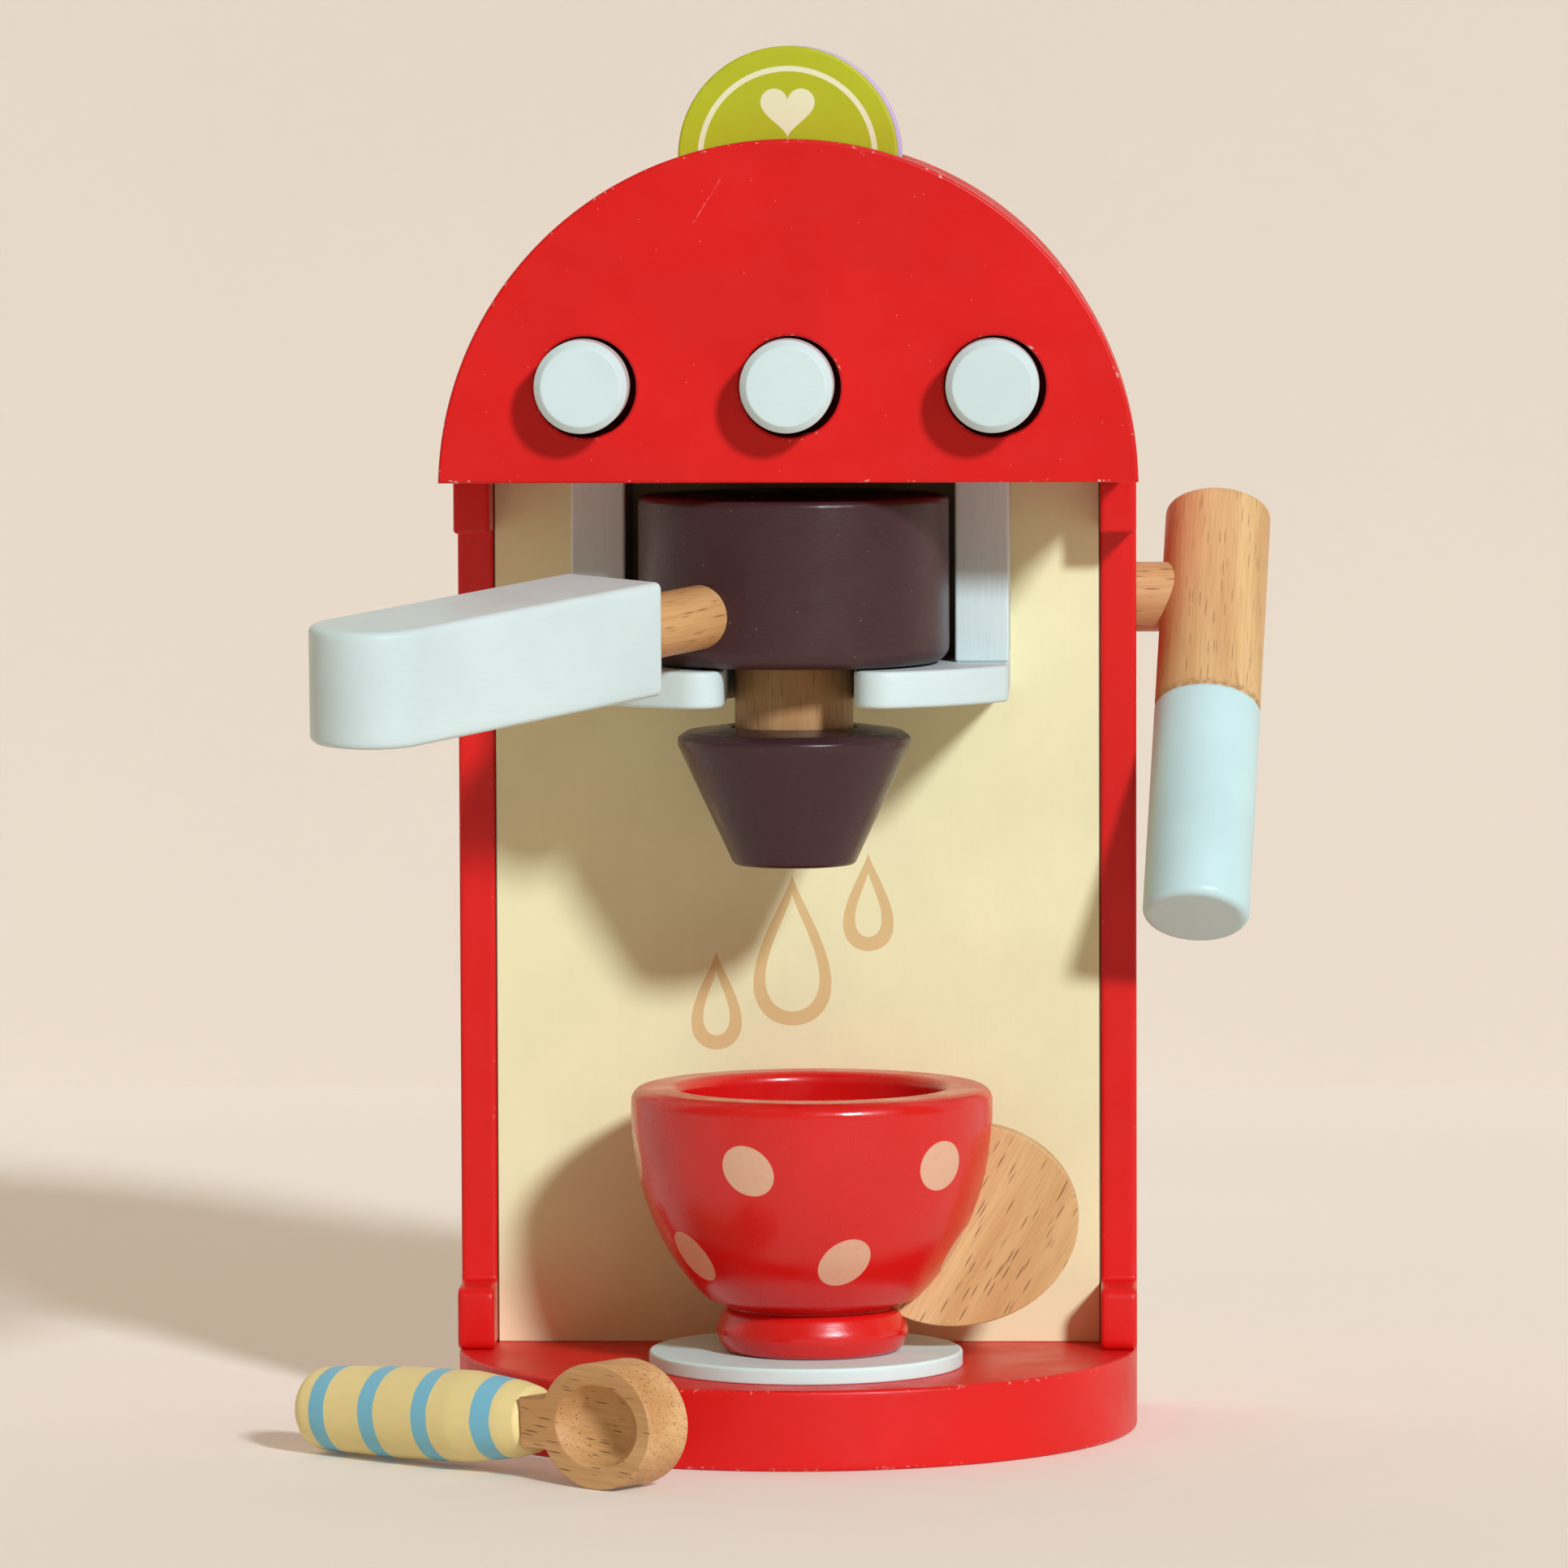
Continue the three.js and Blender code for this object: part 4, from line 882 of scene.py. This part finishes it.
class COFFEE_OT_cup(bpy.types.Operator):
    """Dotted cup and its oval beech handle"""
    bl_idname = "coffee.cup"
    bl_label = "Cup"

    def execute(self, context):
        cup = Box("cup_bowl")
        self.origin, self.radius = np.array([*cup.middle[:2], cup.low[2]]), cup.half[0]
        self.widest, self.drop = 42.2 * MM, 40.5 * MM
        self.bowl(cup.size[2])
        self.ear(context.scene.coffee_shapes.ear_turn)
        return {"FINISHED"}

    def outside(self):
        """Foot, neck and an ellipse up to the widest place, as (radius, height)."""
        foot = rounded([(0, 0, 0), (15.4 * MM, 0, 2.0 * MM), (17.1 * MM, 3.6 * MM, 3.0 * MM),
                        (15.5 * MM, 7.3 * MM, 1.8 * MM), (14.0 * MM, 7.8 * MM, 0.2 * MM),
                        (18.2 * MM, 9.3 * MM, 0)], steps=6)[:-1]
        start = -math.asin((self.widest - 9.4 * MM) / self.drop)
        return np.concatenate([foot, arc((0, self.widest), (self.radius, self.drop), start, 0, 40)])

    def bowl(self, height):
        """Outside, a rounded shoulder, a flat rim and an elliptic hollow."""
        edge, lip_edge, opening = 2.4 * MM, 1.8 * MM, 23.0 * MM
        shoulder = arc((self.radius - edge, height - edge), edge, 0, math.pi / 2, 10)
        lip = arc((opening + lip_edge, height - lip_edge), lip_edge, math.pi / 2, math.pi, 8)
        hollow = arc((0, self.widest), (opening, 30 * MM), 0, -math.pi / 2, 40)
        profile = np.concatenate([self.outside(), shoulder, lip, hollow[:-1], [[0.0, hollow[-1, 1]]]])
        red = painted_wood("cup_red", scaled(paint("red"), 0.95), (1, 0, 0), grain=0.25, roughness=0.24,
                           pale_edge=0.0, marks=self.dots, specular=0.6, peel=0.14)
        make_turned("bowl", "cup_bowl", "red_paint", "Z", profile, 192, red)

    def dots(self, recipe, base):
        """Stamped dots, each an ellipse tilted in the plane that faces out from the cup: the length of
        (along / long half, out / depth, up / short half) is below 1 inside it."""
        upper, lower, depth = 34.6 * MM, 18.2 * MM, 10 * MM
        point = recipe.object_point()
        stamped = recipe.range(recipe.noise(recipe.place(), 0.8, 4.0, 0.7), 0.25, 0.5, 0.86, 1.0)
        for turn, height, long, short, tilt in (
                (-81, upper, 4.7, 4.4, 0), (-19.3, upper, 4.9, 4.1, -35), (47.8, upper, 4.8, 4.3, 0),
                (116, upper, 4.7, 4.4, 30), (188, upper, 4.7, 4.4, 0), (-52.7, lower, 4.8, 4.0, -50),
                (14.4, lower, 4.9, 3.9, 42), (82, lower, 4.7, 4.0, 0), (152, lower, 4.7, 4.0, -20),
                (222, lower, 4.7, 4.0, 0)):
            turn, tilt = math.radians(turn), math.radians(tilt)
            across = self.radius * math.sqrt(1 - ((self.widest - height) / self.drop) ** 2)
            centre = self.origin + (across * math.sin(turn), -across * math.cos(turn), height)
            inputs = {"Vector": point, "Location": tuple(centre), "Rotation": (0, -tilt, turn),
                      "Scale": (long * MM, depth, short * MM)}
            local = recipe.add("Mapping", inputs, vector_type="TEXTURE")[0]
            inside = recipe.range(recipe.vector("LENGTH", local), 0.99, 1.02, 1.0, 0.0)
            base = recipe.mix(recipe.times(inside, stamped), base, paint("dot"))
        return base

    def ear(self, turn):
        """Oval plate whose inner side follows the cup's outside, let 1.5 mm into its wall."""
        spin = np.array([[math.cos(turn), math.sin(turn)], [-math.sin(turn), math.cos(turn)]])
        oval = ring((0, 0), (20.8 * MM, 17.6 * MM), 720) @ spin + (25.8 * MM, 22.1 * MM)
        oval = np.roll(oval, -int(np.argmax(oval[:, 0])), axis=0)
        side = self.outside()[1:]
        side = side[np.argsort(side[:, 1])]

        def wall(height):
            return np.interp(height, side[:, 1], side[:, 0]) - 1.5 * MM

        inside = oval[:, 0] <= wall(oval[:, 1])
        kept = np.concatenate([oval[len(oval) - int(np.argmax(inside[::-1])):], oval[:int(np.argmax(inside))]])
        heights = np.linspace(kept[-1, 1], kept[0, 1], 60)[1:-1]
        loop = np.concatenate([kept[:-1:3], kept[-1:], np.stack([wall(heights), heights], axis=1)])
        wood = bare_beech("ear_beech", (0.5, 0, 0.87), (0.03, 0, 0.04), rings=0.1, pores=1.2)
        make_board("ear", "cup_handle", "beech", "Y", [loop + self.origin[[0, 2]]], 0.25 * MM, wood, steps=2)


class COFFEE_OT_spoon(bpy.types.Operator):
    """Striped handle and beech bowl of the spoon"""
    bl_idname = "coffee.spoon"
    bl_label = "Spoon"

    def execute(self, context):
        shapes = context.scene.coffee_shapes
        climb = math.asin(3.3 / 70)  # the bowl's middle lies this much higher than the handle's tail
        axes = axes_of(Euler((0, -climb, shapes.spoon_turn)).to_matrix())
        origin = Vector((-83.3 * MM, -33.6 * MM, 7.5 * MM))
        self.handle(shapes, origin, *axes)
        self.bowl(origin, *axes)
        return {"FINISHED"}

    def handle(self, shapes, origin, x, y, z):
        """Fat middle, rounded tail, shoulder drawn in to a flat end."""
        profile = rounded([
            (0, 0, 0), (7.0 * MM, 0, 3.6 * MM), (7.6 * MM, 8 * MM, 8 * MM), (8.0 * MM, 22 * MM, 40 * MM),
            (7.9 * MM, 38 * MM, 14 * MM), (6.6 * MM, 48.5 * MM, 12 * MM), (5.8 * MM, 51.8 * MM, 1.2 * MM),
            (5.1 * MM, 52.5 * MM, 0.2 * MM), (0, 52.5 * MM, 0)], steps=8)

        def stripes(recipe, base):
            """Four bands with slightly wavy edges, given in millimetres from the tail."""
            point = recipe.place(x, origin)
            wave = recipe.times(recipe.noise(point, 0.25, 1.0), 0.5)
            wavy = recipe.math("ADD", recipe.axis(point, "Z"), wave)
            for start, end in ((5.6, 9.3), (17.7, 21.35), (30.2, 33.9), (43.4, 47.5)):
                band = (recipe.range(wavy, start, start + 0.12), recipe.range(wavy, end, end + 0.12, 1, 0))
                base = recipe.mix(recipe.times(*band), base, paint("stripe"))
            return base

        yellow = painted_wood("spoon_paint", paint("yellow"), x, grain=0.3, roughness=0.42,
                              pale_edge=0.0, marks=stripes)
        stick = turned(profile, shapes.sides).placed(origin, (y, z, x))
        make_piece("spoon_stick", "spoon_handle", "yellow_paint", stick, yellow)

    def bowl(self, origin, x, y, z):
        """Oval block with a flat shank, drawn as (along, up); its near side has an oval hollow."""
        radii, half, centre, shank, thick = (12.5 * MM, 10.8 * MM), 4.4 * MM, 70.0 * MM, 52.8 * MM, 10 * MM
        meet = math.asin(half / radii[1])
        rim = arc((centre, 0), radii, meet - math.pi, math.pi - meet, 120)
        mouth = ring((centre + 0.3 * MM, 0), (9.4 * MM, 7.2 * MM), 72)
        outline = np.concatenate([rim, [[shank, half], [shank, -half]]])
        surface = board([outline], -thick / 2, thick / 2, 0.35 * MM, prints=[(mouth, mouth[::-1], [])])
        self.hollow(surface, mouth, -thick / 2)
        wood = bare_beech("spoon_beech", x - 0.12 * z, origin, pores=1.4, tone=(0.97, 0.9, 0.86))
        make_piece("scoop", "spoon_bowl", "beech", surface.placed(origin, (x, z, y)), wood)

    def hollow(self, surface, mouth, top):
        """Rings from the mouth down to a floor in place of the print's faces: each ring is the mouth
        drawn in toward its middle by a share."""
        count, middle, depth = len(mouth), mouth.mean(axis=0), 4.2 * MM
        outline = np.arange(surface.count - 2 * count, surface.count - count)
        kept = [i for i, face in enumerate(surface.faces) if min(face) < outline[0]]
        surface.faces, surface.marks = ([old[i] for i in kept] for old in (surface.faces, surface.marks))
        path = rounded([(1.0, 0.0, 0), (0.97, 0.4 * MM, 0.3 * MM), (0.66, 3.6 * MM, 4 * MM), (0.0, depth, 0)],
                       steps=8)[1:-1]
        points = surface.add_points(np.concatenate([
            np.column_stack([middle + (mouth - middle) * share, np.full(count, top + down)])
            for share, down in path]))
        lower = points[:count]
        surface.add_faces(np.stack([outline, lower, np.roll(lower, -1), np.roll(outline, -1)], axis=1))
        surface.add_faces(grid_quads(len(path), count, points[0])[:, ::-1])
        surface.add_fan(points[-count:], (*middle, top + depth), True, True)


class COFFEE_OT_hidden(bpy.types.Operator):
    """Springs and washers inside the head"""
    bl_idname = "coffee.hidden"
    bl_label = "Inner Pieces"

    def execute(self, context):
        wire = Recipe("spring_wire")
        drawn = wire.noise(wire.place(), 2.0, 3.0)
        wire.bumps((drawn, 0.1, 0.05))
        steel = wire.finish(wire.mix(drawn, (0.42, 0.43, 0.44), (0.58, 0.59, 0.6)), 0.3, metallic=1.0)
        washer = bare_beech("washer_beech", (0, 1, 0), tone=0.9)
        for side in SIDES:
            frame["nodes"][f"{side}_button_retainer"].material_slots[0].material = washer
            self.spring(side, steel)
        return {"FINISHED"}

    def spring(self, side, steel):
        """Wire wound about y: its middle is at (r cos a, pitch a, r sin a), and each ring of points lies in the
        plane of y and the direction outwards."""
        node, wire, curls, steps, sides = f"{side}_button_spring", 0.45 * MM, 5, 24, 10
        box = Box(node)
        turn = np.linspace(0, math.tau * curls, curls * steps + 1)[:, None]
        around = np.arange(sides) * math.tau / sides
        out = box.half[0] - wire + wire * np.cos(around)
        along = box.low[1] + wire + (box.size[1] - 2 * wire) * turn / turn[-1] + wire * np.sin(around)
        across, up = box.middle[0] + out * np.cos(turn), box.middle[2] + out * np.sin(turn)
        surface = Surface()
        points = surface.add_points(np.stack([across, along, up], axis=-1).reshape(-1, 3))
        surface.add_faces(grid_quads(len(turn), sides, 0))
        surface.add_faces(np.array([points[:sides][::-1], points[-sides:]]), smooth=False)
        surface.face_outward()
        piece = make_piece(f"{side}_spring", node, "spring_steel", surface, steel)
        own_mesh(piece)


class COFFEE_OT_stage(bpy.types.Operator):
    """Floor, wall, lamps and the camera at the photograph's angle"""
    bl_idname = "coffee.stage"
    bl_label = "Studio"

    def execute(self, context):
        stage = context.scene.coffee_stage
        self.floor_and_wall(stage)
        context.scene.world = self.light(stage)
        context.scene.camera = self.camera(stage)
        context.scene.view_settings.view_transform = "Standard"
        return {"FINISHED"}

    def floor_and_wall(self, stage):
        """Two sheets carried along x: the flat floor up to the wall, and the upright wall."""
        reach, tall, back = 6.0, 4.0, stage.wall_distance
        for name, path, shade, lift in (
                ("studio_floor", [(-reach, 0.0), (back, 0.0)], stage.floor, stage.floor_lift),
                ("studio_wall", [(back, 0.0), (back, tall)], stage.wall, stage.wall_lift)):
            points = np.concatenate([np.column_stack([(x, x), path]) for x in (-reach, reach)])
            mesh = bpy.data.meshes.new(name)
            mesh.from_pydata(points, [], [(2, 3, 1, 0)])
            mesh.materials.append(self.plaster(name, tuple(shade), lift))
            sheet = add_object(name, mesh)

    def plaster(self, name, shade, lift):
        """Matt paper, lifted a little where the camera sees it, and clear from behind so that it hides nothing."""
        recipe = Recipe(name)
        tone = recipe.range(recipe.noise(recipe.place(), 0.004), 0.3, 0.7)
        recipe.finish(recipe.mix(tone, scaled(shade, 0.985), scaled(shade, 1.01)), 0.9, 0.1)
        path = recipe.add("LightPath")
        through = recipe.math("MAXIMUM", path["Is Glossy Ray"], path["Is Transmission Ray"])
        seen = recipe.math("MAXIMUM", path["Is Camera Ray"], through)
        recipe.put(recipe.shader.inputs["Emission Color"], (*shade, 1.0))
        recipe.put(recipe.shader.inputs["Emission Strength"], recipe.times(seen, lift))
        blend_shaders(recipe.tree, recipe.add("NewGeometry")["Backfacing"], recipe.shader.outputs[0],
                      recipe.add("BsdfTransparent")[0], recipe.output)
        return recipe.material

    def light(self, stage):
        """Key light whose shadows fall 0.57 left and 0.60 down for each step back, in a warm surround
        that the camera sees as pale as the wall."""
        sun = bpy.data.lights.new("key", "SUN")
        sun.energy, sun.angle, sun.color = stage.sun_strength, stage.sun_angle, (0.843, 0.912, 1.0)
        add_object("key", sun).rotation_euler = Vector((0.57, -1.0, 0.60)).to_track_quat("Z", "Y").to_euler()
        world = bpy.data.worlds.new("surround")
        world.use_nodes = True
        nodes = world.node_tree.nodes
        warm, pale = nodes["Background"], nodes.new("ShaderNodeBackground")
        warm.inputs["Color"].default_value = (1.0, 0.82, 0.54, 1.0)
        warm.inputs["Strength"].default_value = stage.fill_strength
        pale.inputs["Color"].default_value = (*stage.wall, 1.0)
        seen = nodes.new("ShaderNodeLightPath").outputs["Is Camera Ray"]
        blend_shaders(world.node_tree, seen, warm.outputs[0], pale.outputs[0], nodes["World Output"])
        return world

    def camera(self, stage):
        """Turned by yaw, then pitch, then roll; the lens is the sensor's width times focal pixels over 1932."""
        data = bpy.data.cameras.new("camera")
        data.sensor_width, data.clip_end = 36.0, 50.0
        data.lens = data.sensor_width * stage.focal_pixels / 1932.0
        yaw, pitch, roll = (Matrix.Rotation(turn, 4, letter) for turn, letter in (
            (stage.camera_yaw, "Z"), (math.pi / 2 - stage.camera_pitch, "X"), (stage.camera_roll, "Z")))
        place = Matrix.Translation((stage.camera_side, -stage.camera_distance, stage.camera_height))
        camera = add_object("camera", data)
        camera.matrix_world = place @ yaw @ pitch @ roll
        return camera


OPERATORS = (COFFEE_OT_stand, COFFEE_OT_head, COFFEE_OT_discs, COFFEE_OT_buttons, COFFEE_OT_holder,
             COFFEE_OT_filter, COFFEE_OT_lever, COFFEE_OT_cup, COFFEE_OT_spoon, COFFEE_OT_hidden, COFFEE_OT_stage)
GROUPS = {"coffee_paints": CoffeePaints, "coffee_shapes": CoffeeShapes, "coffee_stage": CoffeeStage}


class COFFEE_PT_panel(bpy.types.Panel):
    """Lists the pieces and their settings"""
    bl_idname = "COFFEE_PT_panel"
    bl_label = "Toy Coffee Maker"
    bl_space_type = "VIEW_3D"
    bl_region_type = "UI"
    bl_category = "Coffee Maker"

    def draw(self, context):
        for operator in OPERATORS:
            self.layout.operator(operator.bl_idname)
        for name in GROUPS:
            group, box = getattr(context.scene, name), self.layout.box()
            for key in group.__annotations__:
                box.prop(group, key)


def register():
    for name, group in GROUPS.items():
        bpy.utils.register_class(group)
        setattr(bpy.types.Scene, name, PointerProperty(type=group))
    for item in (*OPERATORS, COFFEE_PT_panel):
        bpy.utils.register_class(item)


def unregister():
    for item in reversed((*OPERATORS, COFFEE_PT_panel)):
        bpy.utils.unregister_class(item)
    for name, group in GROUPS.items():
        delattr(bpy.types.Scene, name)
        bpy.utils.unregister_class(group)


def main():
    register()
    for operator in OPERATORS:
        family, name = operator.bl_idname.split(".")
        getattr(getattr(bpy.ops, family), name)()


if __name__ == "__main__":
    main()
